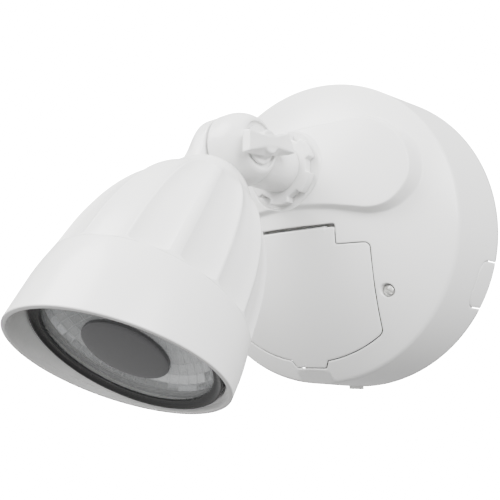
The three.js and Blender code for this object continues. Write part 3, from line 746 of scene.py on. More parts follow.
def face_sheet():
    """The domed face with its boss, door opening and screw recesses, as points and triangles."""
    gap = mm(settings().base.door_gap)
    boss = boss_loop()
    opening = door_loop(gap, top=SLOT_TOP)
    hole = round_loop(0, mm(ARM_HEIGHT), mm(settings().arm.thread_radius) + 0.4, 80)
    edge = round_loop(0, 0, FACE_EDGE, 360)
    loose = hex_points(-76, 76, -76, 76, COARSE)
    loose = loose[np.hypot(loose[:, 0], loose[:, 1]) < FACE_EDGE - 0.9]
    fine = hex_points(-13, 13, -75, -68.6, FINE)
    fine = fine[np.hypot(fine[:, 0], fine[:, 1]) < FACE_EDGE - 0.7]
    loose = np.vstack((loose[(np.abs(loose[:, 0]) > 13.3) | (loose[:, 1] > -68.4)], fine))
    rings = []
    boss_steps = np.linspace(-0.9, mm(settings().base.boss_draft) + 0.9, 11)
    loose = clear_of(loose, edge_distance(loose, boss), boss_steps[0] - 0.5, boss_steps[-1] + 0.5)
    rings += [offset_loop(boss, d) for d in boss_steps]
    seat = np.hypot(loose[:, 0], loose[:, 1] - mm(ARM_HEIGHT)) - mm(settings().arm.seat_radius)
    loose = clear_of(loose, seat, -1.0, 1.8)
    for d in np.linspace(-0.6, 1.3, 7):
        rings.append(round_loop(0, mm(ARM_HEIGHT), mm(settings().arm.seat_radius) + d, 150))
    loose = clear_of(loose, edge_distance(loose, opening), -math.inf, 1.3)
    for d in EDGE_RINGS:
        rings.append(door_loop(gap + d, top=SLOT_TOP + d))
    for side in (-1, 1):
        from_screw = np.hypot(loose[:, 0] - side * COVER_SCREW_X, loose[:, 1] - COVER_SCREW_Z)
        loose = loose[from_screw > SCREW_RECESS + 1.2]
        for r in SCREW_RINGS:
            rings.append(round_loop(side * COVER_SCREW_X, COVER_SCREW_Z, r, 44))
    loose = clear_of(loose, edge_distance(loose, hole), -math.inf, 0.8)
    ring_points = np.vstack(rings)
    holes = [opening, hole]
    for loop in holes:
        ring_points = ring_points[edge_distance(ring_points, loop) > 0.05]

    def keep(centres):
        kept = np.hypot(centres[:, 0], centres[:, 1]) < FACE_EDGE
        for loop in holes:
            kept &= edge_distance(centres, loop) > 0
        return kept

    flat, faces = tile([edge, *holes], np.vstack((loose, ring_points)), keep)
    height = face_height(flat, edge_distance(flat, boss))
    height -= FACE_DROP * np.clip(1 - edge_distance(flat, opening) / EDGE_ROUND, 0, 1) ** 2
    for side in (-1, 1):
        from_screw = np.hypot(flat[:, 0] - side * COVER_SCREW_X, flat[:, 1] - COVER_SCREW_Z)
        height = RECESS_FLOOR + (height - RECESS_FLOOR) * smoothstep((from_screw - 2.88) / 0.3)
    y = scoop(flat[:, 0], -height, flat[:, 1])
    return np.column_stack((flat[:, 0], y, flat[:, 1])), faces


CORNER_RUN = 2.9  # length of the rounded corner between the face and the side wall
SIDE_UNIT = 78.0  # radius that turns the side wall's angle into a length


CORNER_LENGTH = 1.4  # the rounded corner takes this much of the side wall


def side_run():
    """Length from the face's edge over the corner and down the side wall."""
    s = settings().base
    return CORNER_RUN + math.hypot(mm(s.back_radius - s.front_radius), mm(s.side_height)) - CORNER_LENGTH


def on_side(points, sink=0.0):
    """Places (length round, length down) points on the rounded corner and the side wall."""
    s = settings().base
    start = np.array([FACE_EDGE, -dome_height(FACE_EDGE, 0)])
    corner = np.array([mm(s.front_radius), -mm(s.side_height)])
    back = np.array([mm(s.back_radius), 0.0])
    wall = (back - corner) / np.linalg.norm(back - corner)
    end = corner + wall * CORNER_LENGTH
    t = np.clip(points[:, 1] / CORNER_RUN, 0, 1)[:, None]
    bend = start * (1 - t) ** 2 + corner * 2 * t * (1 - t) + end * t * t
    down = np.maximum(points[:, 1] - CORNER_RUN, 0)[:, None]
    section = bend + wall * down
    radius, y = section[:, 0] - sink, section[:, 1]
    angle = points[:, 0] / SIDE_UNIT
    x, z = radius * np.cos(angle), radius * np.sin(angle)
    return np.column_stack((x, scoop(x, y, z), z))


def notch_loop(angle, half, depth, radius, grow, step=0.7):
    """Closed outline of a notch in the wall's back edge, run on past it."""
    middle, end = math.radians(angle) * SIDE_UNIT, side_run()
    half, depth = half + grow, depth + grow
    return rounded_outline(
        [
            (middle - half, end + 2, 0), (middle - half, end - depth, radius + grow),
            (middle + half, end - depth, radius + grow), (middle + half, end + 2, 0),
        ],
        step,
    )


KNOCKOUTS = {"knockout_right": -22.4, "knockout_left": -157.6}
KNOCKOUT_SHAPE = (11.4, 15.5, 7.0)  # half width, depth and corner radius
KNOCKOUT_GAP = 0.3
KNOCKOUT_SINK = 0.12  # how far a knock-out lies below the side wall
TONGUE_SHAPE = (4.6, 3.6, 0.6)


def side_sheet():
    """The side wall with its notches, as points and triangles."""
    end = side_run()
    left, right = -1.5 * math.pi * SIDE_UNIT, 0.5 * math.pi * SIDE_UNIT
    notches = [notch_loop(a, *KNOCKOUT_SHAPE, KNOCKOUT_GAP) for a in KNOCKOUTS.values()]
    notches.append(notch_loop(-90, *TONGUE_SHAPE, 0))
    rows = np.concatenate((np.linspace(0, CORNER_RUN, 7), np.linspace(CORNER_RUN + 1.2, end, 20)))
    columns = np.linspace(left, right, 361)
    grid = np.array([(s, v) for v in rows for s in columns])
    rim = 1e-4
    inner = (grid[:, 0] > left + rim) & (grid[:, 0] < right - rim)
    inner &= (grid[:, 1] > rim) & (grid[:, 1] < end - rim)
    loose = grid[inner]
    rings = []
    for loop in notches:
        loose = clear_of(loose, edge_distance(loose, loop), -math.inf, 0.9)
        rings += [offset_loop(loop, d) for d in SEAM_RINGS]
    ring_points = np.vstack(rings)
    ring_points = ring_points[ring_points[:, 1] < end - 0.05]
    for loop in notches:
        ring_points = ring_points[edge_distance(ring_points, loop) > 0.05]
    border = [(s, 0) for s in columns] + [(right, v) for v in rows[1:]]
    border += [(s, end) for s in columns[-2::-1]] + [(left, v) for v in rows[-2:0:-1]]

    def keep(centres):
        kept = (centres[:, 1] < end) & (centres[:, 0] > left) & (centres[:, 0] < right)
        for loop in notches:
            kept &= edge_distance(centres, loop) > 0
        return kept

    flat, faces = tile([np.array(border), *notches], np.vstack((loose, ring_points)), keep)
    points = on_side(flat)
    for loop in notches:
        ease_seam(points, np.clip(1 - edge_distance(flat, loop) / SEAM_ROUND, 0, 1))
    return points, faces


def ease_seam(points, near):
    """Rounds the side wall's edges: near is 1 at a seam and 0 where the rounding ends."""
    outward = points * (1, 0, 1)
    outward /= np.linalg.norm(outward, axis=1)[:, None]
    points -= outward * (SEAM_DROP * near**2)[:, None]


def build_base():
    face_points, face_faces = face_sheet()
    side_points, side_faces = side_sheet()
    points = np.vstack((face_points, side_points))
    faces = np.vstack((face_faces, side_faces[:, ::-1] + len(face_points)))
    shell = make_piece("base_shell", points, faces, base_frame(), sharp=50, outward=(0, -1, 0))
    thicken(shell, settings().base.wall)
    fit_out(shell, "base", "white_housing", "base_housing")
    build_sill()
    for name, angle in KNOCKOUTS.items():
        build_knockout(name, angle)


SILL_FRONT = -56.4
SILL_BACK = -54.6
SILL_BOTTOM = -4.6
SILL_TOP = 3.0


def build_sill():
    """Ledge behind the wide gap over the door's tab."""
    half = DOOR_TAB + 1.5
    low, high = (-half, SILL_FRONT, SILL_BOTTOM), (half, SILL_BACK, SILL_TOP)

    def field(x, y, z):
        return rounded_block(x, y, z, low, high, 0.4)

    points, faces = field_mesh(field, (-half - 1, -58, -6), (half + 1, -53, 4.5), 0.6)
    sill = make_piece("door_sill", points, faces, base_frame())
    fit_out(sill, "base", "white_housing", "base_housing")


def build_knockout(name, angle):
    loop = notch_loop(angle, *KNOCKOUT_SHAPE, 0)
    end = side_run()
    loose = hex_points(loop[:, 0].min(), loop[:, 0].max(), loop[:, 1].min(), end - 0.3, 1.3)
    loose = loose[edge_distance(loose, loop) < -1.0]
    rings = np.vstack([offset_loop(loop, -d) for d in SEAM_RINGS])
    rings = rings[(rings[:, 1] < end - 0.1) & (edge_distance(rings, loop) < -0.05)]
    across = np.arange(loop[:, 0].min() + 0.7, loop[:, 0].max() - 0.5, 0.7)
    back = np.column_stack((across, np.full(len(across), end)))

    def keep(centres):
        return (edge_distance(centres, loop) < 0) & (centres[:, 1] < end)

    flat, faces = tile([loop], np.vstack((loose, rings, back)), keep)
    points = on_side(flat, sink=KNOCKOUT_SINK)
    ease_seam(points, np.clip(1 + edge_distance(flat, loop) / SEAM_ROUND, 0, 1))
    side = (math.cos(math.radians(angle)), 0, math.sin(math.radians(angle)))
    piece = make_piece(f"{name}_plug", points, faces, base_frame(), sharp=50, outward=side)
    thicken(piece, settings().base.wall)
    fit_out(piece, "base", "white_housing", name)


# ---------------------------------------------------------------- the door
DOOR_BARREL = (1.7, 20.5, -61.2, -3.9)  # radius, half length, y and z
HINGE_PIN = (0.7, 26.4)  # radius and half length
PIN_BEVEL = 0.15


def build_door():
    loop = door_loop(0)
    loose = hex_points(-44, 44, -72, 0, COARSE)
    loose = loose[edge_distance(loose, loop) < -1.2]
    rings = np.vstack([door_loop(-d) for d in EDGE_RINGS])
    rings = rings[edge_distance(rings, loop) < -0.05]
    flat, faces = tile([loop], np.vstack((loose, rings)), lambda c: edge_distance(c, loop) < 0)
    height = face_height(flat, edge_distance(flat, boss_loop()))
    height -= FACE_DROP * np.clip(1 + edge_distance(flat, loop) / EDGE_ROUND, 0, 1) ** 2
    points = np.column_stack((flat[:, 0], -height, flat[:, 1]))
    skin = make_piece("door_skin", points, faces, base_frame(), sharp=50, outward=(0, -1, 0))
    thicken(skin, settings().base.wall * 1.3)
    fit_out(skin, "door", "white_housing", "access_door")
    build_door_barrel()
    build_hinge_pin()


def build_door_barrel():
    """Barrel of the door's hinge, with the web that joins it to the door."""
    radius, half, y, z = DOOR_BARREL

    def field(px, py, pz):
        barrel = rounded_bar(np.hypot(py - y, pz - z), px, radius, -half, half, 0.4)
        web = rounded_block(px, py, pz, (-half, y - 2.4, z - 1.5), (half, y, z + 0.2), 0.3)
        return soft_union(barrel, web, 0.6)

    points, faces = field_mesh(field, (-26, y - 4, z - 4), (26, y + 4, z + 4), 0.5)
    barrel = make_piece("door_barrel", points, faces, base_frame())
    fit_out(barrel, "door", "white_housing", "access_door")


def build_hinge_pin():
    """Steel pin through the door's barrel."""
    _, _, y, z = DOOR_BARREL
    thick, reach = HINGE_PIN
    bevelled, flat_end = thick - PIN_BEVEL, reach - PIN_BEVEL
    profile = [(0, -reach), (bevelled, -reach), (thick, -flat_end)]
    profile += [(thick, flat_end), (bevelled, reach), (0, reach)]
    points, faces = turned_mesh(profile, 48)
    place = base_frame() @ Matrix.Translation(Vector((0, y, z)) * MM) @ Matrix.Rotation(math.pi / 2, 4, "Z")
    pin = make_piece("hinge_pin", points, faces, place)
    fit_out(pin, "base", "zinc_steel", "door_hinge_pin")


# ---------------------------------------------------------------- screws and the back
def slotted_head(radius, height, slot_width, slot_depth):
    """Round screw head on the plane y = 0, its crown towards -y, with a straight slot."""

    def field(x, y, z):
        crown = np.sqrt(x * x + (y - (1.9 * radius - height)) ** 2 + z * z) - 1.9 * radius
        side = np.hypot(x, z) - radius
        body = np.maximum(soft_common(crown, side, 0.35), y)
        slot = np.maximum(np.abs(z) - slot_width / 2, y - (slot_depth - height))
        return soft_cut(body, slot, 0.12)

    reach = radius + 0.5
    return field_mesh(field, (-reach, -height - 0.5, -reach), (reach, 0.6, reach), 0.14)


def build_cover_screws():
    points, faces = slotted_head(2.5, 1.9, 0.9, 0.85)
    for side, name in ((-1, "cover_screw_left"), (1, "cover_screw_right")):
        turn = Matrix.Rotation(math.radians(38 * side), 4, "Y")
        place = Matrix.Translation(Vector((side * COVER_SCREW_X, -49.7, COVER_SCREW_Z)) * MM) @ turn
        head = make_piece(f"{name}_head", points, faces, place, sharp=60)
        fit_out(head, "base", "zinc_steel", name)


PLATE_RADIUS = 71.0
PLATE_BOSS = (4.0, -13.6)  # radius and front of the bosses that take the cover screws
WIRE_HOLE = (24.0, 11.0)  # height and radius
PLATE_SLOTS = ((44.45, 0.0, 4.0), (35.0, 29.2, 3.5))  # x, z and half length of each pair of slots
TONGUE = (4.0, -81.2)  # half width and lowest z
PLATE_THICKNESS = 2.0
GROUND_HOLE = (-24, -8, 1.9)  # x, z and radius
POST_HOLE = 1.8


def slot_loop(x, z, half, end=2.3):
    corners = [(x - half, z - end), (x + half, z - end), (x + half, z + end), (x - half, z + end)]
    return rounded_outline([(a, b, 2.0) for a, b in corners], 0.6)


def plate_points(outline, holes, front):
    """Front of a flat plate, from its outline and holes."""
    loose = hex_points(-80, 80, -82, 80, 3.0)
    loose = loose[edge_distance(loose, outline) < -1.5]
    for hole in holes:
        loose = loose[edge_distance(loose, hole) > 1.5]

    def keep(centres):
        kept = edge_distance(centres, outline) < 0
        for hole in holes:
            kept &= edge_distance(centres, hole) > 0
        return kept

    flat, faces = tile([outline, *holes], loose, keep)
    return np.column_stack((flat[:, 0], np.full(len(flat), front), flat[:, 1])), faces


def bevel(piece, width, segments=3, angle=40):
    edge = piece.modifiers.new("edge", "BEVEL")
    edge.width = width * MM
    edge.segments = segments
    edge.limit_method = "ANGLE"
    edge.angle_limit = math.radians(angle)
    edge.harden_normals = True
    apply_modifiers(piece)


def build_back():
    turn = math.asin(TONGUE[0] / PLATE_RADIUS)
    rim = [
        (PLATE_RADIUS * math.cos(a), PLATE_RADIUS * math.sin(a))
        for a in np.linspace(-math.pi / 2 + turn, 1.5 * math.pi - turn, 200)
    ]
    rim += [(-TONGUE[0], TONGUE[1]), (TONGUE[0], TONGUE[1])]
    holes = [round_loop(0, WIRE_HOLE[0], WIRE_HOLE[1], 72), round_loop(*GROUND_HOLE, 24)]
    for side in (-1, 1):
        holes += [slot_loop(side * x, z, half) for x, z, half in PLATE_SLOTS]
        holes.append(round_loop(side * COVER_SCREW_X, COVER_SCREW_Z, POST_HOLE, 24))
    points, faces = plate_points(np.array(rim), holes, -PLATE_THICKNESS)
    plate = make_piece("back_plate", points, faces, base_frame(), outward=(0, -1, 0))
    thicken(plate, PLATE_THICKNESS * MM)
    bevel(plate, 0.25, 2)
    fit_out(plate, "base", "zinc_steel", "mounting_plate")
    for side, name in ((-1, "left"), (1, "right")):
        radius, top = PLATE_BOSS
        foot = -PLATE_THICKNESS - 0.2
        profile = [(POST_HOLE, foot), (radius, foot), (radius, top + 0.5)]
        profile += [(radius - 0.5, top), (POST_HOLE, top)]
        points, faces = turned_mesh(profile, 48)
        place = Matrix.Translation(Vector((side * COVER_SCREW_X, 0, COVER_SCREW_Z)) * MM)
        post = make_piece(f"plate_post_{name}", points, faces, place)
        fit_out(post, "base", "zinc_steel", "mounting_plate")
    build_gasket()


GASKET = (71.4, 76.4, -4.5)  # inner and outer radius, front


def build_gasket():
    """Foam ring between the base and the wall, notched for the plate's tongue."""
    inner, outer, front = GASKET

    def turn_of(profile, angle):
        y = np.tile(profile[:, 1], (len(angle), 1))
        low = np.abs(np.cos(angle)[:, None] * profile[:, 0]) < 4.5
        low &= (np.sin(angle) < 0)[:, None]
        return np.where(low, np.minimum(y, -2.4), y)

    profile = [(inner, 0), (inner + 0.4, 0), (outer - 0.4, 0), (outer, -0.4), (outer, front + 0.4),
               (outer - 0.4, front), (inner + 0.4, front), (inner, front + 0.4)]
    points, faces = turned_mesh(profile, 720, turn_of)
    ring = make_piece("foam_ring", points, faces, base_frame())
    fit_out(ring, "base", "black_rubber", "wall_gasket")


# ---------------------------------------------------------------- the arm
SCREW_HOLE = 3.4  # radius of the tilt screw's hole
WIRE_BORE = 5.5  # radius of the arm's bore
WING_RECESS = (10.4, 12.0)  # radius, and x of its floor


def build_knuckle():
    """Threaded tube and round lug of the arm, with the washer in the tilt joint."""
    s = settings().arm
    hinge = hinge_in_arm()
    lug_radius, tube, thread = mm(s.lug_radius), mm(s.tube_radius), mm(s.thread_radius)
    seat = -mm(s.seat)
    seam, face, crown = -2.6, 13.5, 1.8  # x of the lug's flat, of its outer face and of its widest place

    def shape(x, y, z):
        across = np.hypot(y - hinge.y, z - hinge.z)
        about = np.hypot(x, z)
        ball = np.hypot(across, np.maximum(x - crown, 0)) - lug_radius
        lug = soft_common(ball, x - face, 1.4)
        neck = rounded_bar(about, y, tube, hinge.y, seat - 5.3, 0.6)
        ear_room = np.maximum(across - lug_radius - 1.6, x - seam)
        neck = soft_cut(neck, ear_room, 0.8)
        lug = soft_common(lug, seam - x, 0.4)
        body = soft_union(lug, neck, 2.4)
        stem = rounded_bar(about, y, thread, seat - 6, seat + 17, 0.5)
        body = np.minimum(body, stem)
        recess = np.maximum(across - WING_RECESS[0], WING_RECESS[1] - x)
        body = soft_cut(body, recess, 0.5)
        bore = np.maximum(about - WIRE_BORE, hinge.y + 8 - y)
        body = np.maximum(body, -bore)
        return np.maximum(body, SCREW_HOLE - across)

    points, faces = field_mesh(shape, (-13, hinge.y - 18, -18), (15, seat + 18, 20), 0.62)
    knuckle = make_piece("knuckle", points, faces, arm_frame(), sharp=55)
    fit_out(knuckle, "arm", "white_housing", "arm_knuckle")
    place = arm_frame() @ Matrix.Translation(hinge * MM) @ Matrix.Rotation(math.pi / 2, 4, "Z")
    profile = [(10, 2.9), (15.6, 2.9), (15.6, 3.7), (10, 3.7)]
    points, faces = turned_mesh(profile, 120)
    washer = make_piece("hinge_washer", points, faces, place)
    fit_out(washer, "arm", "grey_nylon", "knuckle_washer")


def build_lock_nut():
    """Notched ring nut on the arm's thread, and the rubber washer under it."""
    s = settings().arm
    radius, hole = mm(s.nut_radius), mm(s.thread_radius) + 0.4
    back, front = -66.0, -69.6
    skirt = -mm(s.seat) - 0.35
    washer_room, washer = 13.9, 13.6
    floor, first = 14.9, math.radians(-2)  # radius of a notch's floor, and the first notch's angle

    def shape(x, y, z):
        about = np.hypot(x, z)
        body = rounded_bar(about, y, radius, front, skirt, 0.4)
        body = np.maximum(body, -np.maximum(about - washer_room, back - y))
        for n in range(s.nut_notches):
            a = first - n * 2 * math.pi / s.nut_notches
            out = x * math.cos(a) + z * math.sin(a)
            side = np.abs(z * math.cos(a) - x * math.sin(a))
            notch = np.maximum(floor - out, (side - 2.7 - 0.54 * (out - floor)) * 0.88)
            body = soft_cut(body, notch, 0.7)
        return np.maximum(body, hole - about)

    points, faces = field_mesh(shape, (-18.5, front - 1, -18.5), (18.5, skirt + 1, 18.5), 0.42)
    place = Matrix.Translation((0, 0, ARM_HEIGHT))
    nut = make_piece("ring_nut", points, faces, place, sharp=55)
    fit_out(nut, "lock_nut", "white_housing", "lock_nut")
    seat = -mm(s.seat)
    profile = [(hole, seat - 0.3), (washer, seat - 0.3), (washer, seat - 1.1), (hole, seat - 1.1)]
    points, faces = turned_mesh(profile, 120)
    seal = make_piece("seat_washer", points, faces, place)
    fit_out(seal, "base", "black_rubber", "nut_washer")


WING_REST = math.radians(-10)  # the wing's turn, as stored
WING_FACE = 19.5  # x of the wing's outer face
WING_BACK = 15.5


def build_wing_screw():
    """Clamping screw of the tilt joint: shank, flange, hub and a bevelled wing."""
    s = settings().arm
    hinge = hinge_in_arm()
    half = mm(s.wing_half)

    def shape(x, y, z):
        y, z = y - hinge.y, z - hinge.z
        across = np.hypot(y, z)
        along = np.abs(y * math.cos(WING_REST) - z * math.sin(WING_REST))
        rise = y * math.sin(WING_REST) + z * math.cos(WING_REST)
        hub = rounded_bar(across, x, 5.2, 12.4, 19.0, 0.9)
        flange = rounded_bar(across, x, 8.6, 12.3, 13.7, 0.4)
        flare = 2.1 + 0.18 * np.maximum(along - 3, 0)
        front = soft_common(x - WING_FACE, WING_BACK - x, 0.5)
        slope = 1.15 * np.clip(1 - along / half, 0, 1)
        under = (-rise - flare - slope * (WING_FACE - x)) * 0.75
        upper = (rise - flare - 0.25 * (WING_FACE - x)) * 0.95
        tip = (along - half + 0.3 * np.maximum(rise + flare, 0)) * 0.95
        wing = soft_common(soft_common(under, upper, 0.5), soft_common(front, tip, 0.5), 0.5)
        body = soft_union(hub, wing, 0.9)
        body = soft_union(body, flange, 1.0)
        shank = rounded_bar(across, x, 3.0, -14.3, 13, 0.3)
        return np.minimum(body, shank)

    low = (-15, hinge.y - half - 1, hinge.z - 10)
    high = (20.5, hinge.y + half + 1, hinge.z + 10)
    points, faces = field_mesh(shape, low, high, 0.45)
    screw = make_piece("tilt_screw", points, faces, arm_frame(), sharp=55)
    fit_out(screw, "wing_screw", "white_housing", "wing_screw")


# ---------------------------------------------------------------- the head
# The bell's outside from its crown to the collar: radius, and distance from the hinge.
BELL_OUTLINE = (
    (0, 19.0), (9, 19.6), (13.4, 22.0), (17.2, 26.5), (20.6, 32.2), (25.0, 38.0), (28.8, 44.2), (33.8, 56.2),
    (37.5, 72.2), (39.2, 91.3),
)
FIRST_RIB = 12.0  # degrees from the hinge's axis
WIDE_RIB = 1  # this rib is a flat band, the others are narrow
RIB_HALF = 0.4
WIDE_RIB_HALF = 1.75
FLUTE_COLUMNS = 24


def bell_section():
    """Fine (radius, distance) points along the bell's outline, closer towards the collar."""
    knots = np.array(BELL_OUTLINE, float)
    run = np.concatenate(([0], np.cumsum(np.linalg.norm(np.diff(knots, axis=0), axis=1))))
    total = run[-1]
    at = np.concatenate((np.linspace(0, total - 5, 74), np.linspace(total - 4.7, total, 26)))
    radius = smooth_curve(np.column_stack((run, knots[:, 0])), at)
    reach = smooth_curve(np.column_stack((run, knots[:, 1])), at)
    return np.maximum(radius, 0), reach


def flute_ends(across):
    """Where a flute rises to the collar; it reaches furthest in its middle."""
    return 90.7 - 1.3 * np.abs(across) ** 3


FLUTE_START = 29  # distance from the hinge where the flutes begin
FLUTE_RUN_IN = 18
BELL_WALL = 1.5


def build_bell():
    """Ribbed bell between the neck and the shroud."""
    s = settings().head
    axis = -mm(s.offset)
    radius, reach = bell_section()
    depth = mm(s.flute_depth) * smoothstep((reach - FLUTE_START) / FLUTE_RUN_IN)
    pitch = 2 * math.pi / s.ribs
    t = np.linspace(-1, 1, FLUTE_COLUMNS + 1)
    across = 1.45 * t - 0.45 * t**3
    rows = []
    for r, u, d in zip(radius, reach, depth):
        row = []
        for k in range(s.ribs):
            halves = []
            for rib in (k, (k + 1) % s.ribs):
                half = RIB_HALF
                if rib == WIDE_RIB:
                    half += (WIDE_RIB_HALF - RIB_HALF) * (r / mm(s.lens_radius))
                halves.append(min(half / max(r, 1e-3), pitch * 0.3))
            start = math.radians(FIRST_RIB) + k * pitch
            row.append((start, 0.0, 1.0))
            low, high = start + halves[0], start + pitch - halves[1]
            for c in across:
                row.append((low + (high - low) * (c + 1) / 2, d * (1 - abs(c) ** 2.6), c))
        row = np.array(row)
        sink = row[:, 1] * (1 - smoothstep((u - flute_ends(row[:, 2])) / 0.5))
        turned = r - np.minimum(sink, 0.2 * r)
        x, z = turned * np.cos(row[:, 0]), axis - turned * np.sin(row[:, 0])
        rows.append(np.column_stack((x, np.full(len(row), u), z)))
    rows = np.array(rows)
    count = rows.shape[1]
    faces = []
    for i in range(len(rows) - 1):
        for j in range(count):
            k = (j + 1) % count
            faces.append((i * count + j, i * count + k, (i + 1) * count + k, (i + 1) * count + j))
    forward = head_frame().to_3x3() @ Vector((0, -1, 0))
    bell = make_piece("bell", rows.reshape(-1, 3), faces, head_frame(), sharp=40, outward=forward)
    thicken(bell, BELL_WALL * MM)
    fit_out(bell, "head", "white_housing", "head_housing")


EAR = (-15.6, -3.9)  # x of the ear's back and of its flat towards the lug
EAR_ROUND = -9.0  # the ear's back is round from here
NUT_POCKET = (6.1, -11.8)  # radius, and x of its floor


def build_neck():
    """The ear that meets the arm's lug, blended into the bell's crown."""
    s = settings().head
    axis = -mm(s.offset)
    lug = mm(settings().arm.lug_radius)
    outline = np.array(BELL_OUTLINE)

    def shape(x, y, z):
        across = np.hypot(y, z)
        ear = rounded_bar(across, x, lug, *EAR, 0.3)
        ball = np.hypot(across, 1.9 * np.maximum(EAR_ROUND - x, 0)) - lug
        ear = soft_common(ear, ball, 0.6)
        block = rounded_block(x, y, z, (-17.2, -2, -13.0), (-4.0, 34, 9.5), 4.0)
        about = np.hypot(x, z - axis)
        crown = (about - np.interp(y, outline[:, 1], outline[:, 0], left=-30) + 0.35) * 0.8
        crown = np.maximum(crown, y - 30)
        body = soft_union(soft_union(ear, block, 4.0), crown, 6.0)
        room = np.maximum(across - lug - 0.9, -4.0 - x)
        body = soft_cut(body, room, 0.5)
        body = np.maximum(body, SCREW_HOLE - across)
        pocket = np.maximum(across - NUT_POCKET[0], x - NUT_POCKET[1])
        return soft_cut(body, pocket, 0.3)

    points, faces = field_mesh(shape, (-26, -18, -28), (26, 32, 24), 0.6)
    neck = make_piece("neck", points, faces, head_frame(), sharp=55)
    fit_out(neck, "head", "white_housing", "head_housing")


def arc_points(x, y, radius, start, end, steps=6):
    """Points of an arc about (x, y), with its angles in degrees."""
    angles = np.radians(np.linspace(start, end, steps))
    return [(x + radius * math.cos(a), y + radius * math.sin(a)) for a in angles]


SHROUD_COLUMNS = 300
# The shroud's inside behind the lip, from the front: radius, and distance from the hinge.
SHROUD_INSIDE = (
    (38.0, 116.0), (37.8, 114.0), (37.3, 111.5), (36.7, 109.2), (36.2, 108.0), (36.2, 105.0), (37.1, 104.4),
)
SHROUD_FLARE = 12.5  # length over which the shroud widens behind its cylinder
SHROUD_CYLINDER = 104  # where the cylinder starts
SHROUD_RADIUS = 40.2
LIP_OUTSIDE = 40.08
LIP_INSIDE = 38.3
LIP_CORNERS = (0.5, 0.35)  # outer and inner rounding of the rim


def build_shroud():
    """Smooth front collar with a slanted rim."""
    s = settings().head
    axis = -mm(s.offset)
    collar, rim = mm(s.collar), mm(s.rim)
    slant = math.tan(s.rim_slant)
    outside = [(37.4, collar), (39.2, collar)]
    for t in np.linspace(0, 1, 14):
        outside.append((39.25 + 0.95 * math.sin(t * math.pi / 2), collar + 0.1 + SHROUD_FLARE * t))
    inside = [*SHROUD_INSIDE, (SHROUD_INSIDE[-1][0], collar + 0.3)]
    corner, inner_corner = LIP_CORNERS
    taper = SHROUD_RADIUS - LIP_OUTSIDE
    points = []
    for angle in np.linspace(0, 2 * math.pi, SHROUD_COLUMNS, endpoint=False):
        z = math.sin(angle)
        edge = rim - slant * 39.6 * z
        start, foot = edge - inner_corner, min(SHROUD_INSIDE[0][1], edge - 2.0)
        run = edge - corner - SHROUD_CYLINDER
        section = list(outside)
        section += [(SHROUD_RADIUS - taper * t, SHROUD_CYLINDER + run * t) for t in np.linspace(0.2, 1, 7)]
        section += arc_points(LIP_OUTSIDE - corner, edge - corner, corner, 10, 90)
        section += arc_points(LIP_INSIDE + inner_corner, start, inner_corner, 90, 180)
        section += [(LIP_INSIDE - 0.3 * t, start + (foot - start) * t) for t in np.linspace(0.15, 0.9, 4)]
        section += [(r, min(u, foot - 0.05 * i)) for i, (r, u) in enumerate(inside)]
        points += [(r * math.cos(angle), u, axis + r * z) for r, u in section]
    count = len(points) // SHROUD_COLUMNS
    faces = []
    for c in range(SHROUD_COLUMNS):
        left, right = c * count, (c + 1) % SHROUD_COLUMNS * count
        for i in range(count):
            j = (i + 1) % count
            faces.append((left + i, left + j, right + j, right + i))
    shroud = make_piece("shroud", points, faces, head_frame(), sharp=45)
    fit_out(shroud, "head", "white_housing", "front_shroud")


REFLECTOR_RINGS = 6
REFLECTOR_SPOKES = 44
RIDGE = 0.22  # width of the fine ridges between the reflector's facets


LENS_STEP = 0.3  # gap between the lens and the pieces that hold it
DISC_FACE = 109.4
DISC_EDGE = 0.5  # rounding of the disc's edge


def build_lens():
    """Window with the reflector behind it, the disc, the retaining ring and the seal."""
    s = settings().head
    place = head_frame() @ Matrix.Translation((0, 0, -s.offset))
    build_reflector(place)
    front, back, radius = mm(s.lens_front), mm(s.lens_back), mm(s.lens_radius)
    profile = [(0, back), (radius - 0.3, back), (radius, back + 0.3)]
    profile += [(radius, front - 0.4), (radius - 0.4, front), (0, front)]
    points, faces = turned_mesh(profile, 144)
    window = make_piece("window", points, faces, place)
    fit_out(window, "head", "clear_lens", "lens")
    build_disc(place)
    build_retaining_ring(place)
    build_lens_seal(place)


def build_disc(place):
    """Smoked disc on the middle of the lens."""
    s = settings().head
    sill, cap = mm(s.lens_front) + LENS_STEP, mm(s.cap_radius)
    profile = [(0, sill), (cap, sill)]
    profile += arc_points(cap - DISC_EDGE, DISC_FACE - DISC_EDGE, DISC_EDGE, 0, 90)
    profile += [(cap * t, DISC_FACE + 0.2 * (1 - t * t)) for t in (0.85, 0.6, 0.35, 0.0)]
    points, faces = turned_mesh(profile, 120)
    disc = make_piece("smoked_disc", points, faces, place)
    fit_out(disc, "head", "smoked_cap", "centre_cap")


def build_retaining_ring(place):
    """Dark ring that holds the lens."""
    s = settings().head
    sill, radius = mm(s.lens_front) + LENS_STEP, mm(s.lens_radius)
    profile = [(32.0, sill), (radius, sill), (radius, 109.7), (radius - 0.25, 109.95), (radius - 0.7, 110.0),
               (radius - 1.3, 109.6), (33.0, 108.95), (32.5, 109.05), (32.15, 108.9), (32.0, 108.6)]
    points, faces = turned_mesh(profile, 180)
    ring = make_piece("retaining_ring", points, faces, place)
    fit_out(ring, "head", "dark_retainer", "lens_retainer")


def build_lens_seal(place):
    """Rubber seal behind the lens."""
    s = settings().head
    radius, front = mm(s.lens_radius), mm(s.lens_back) - LENS_STEP
    inner, rear = 33.2, 104.0
    profile = [(inner, rear), (radius - 0.2, rear), (radius, rear + 0.2), (radius, front), (inner, front)]
    points, faces = turned_mesh(profile, 120)
    seal = make_piece("lens_seal", points, faces, place)
    fit_out(seal, "head", "black_rubber", "lens_gasket")


BOWL_RIM = 34.2


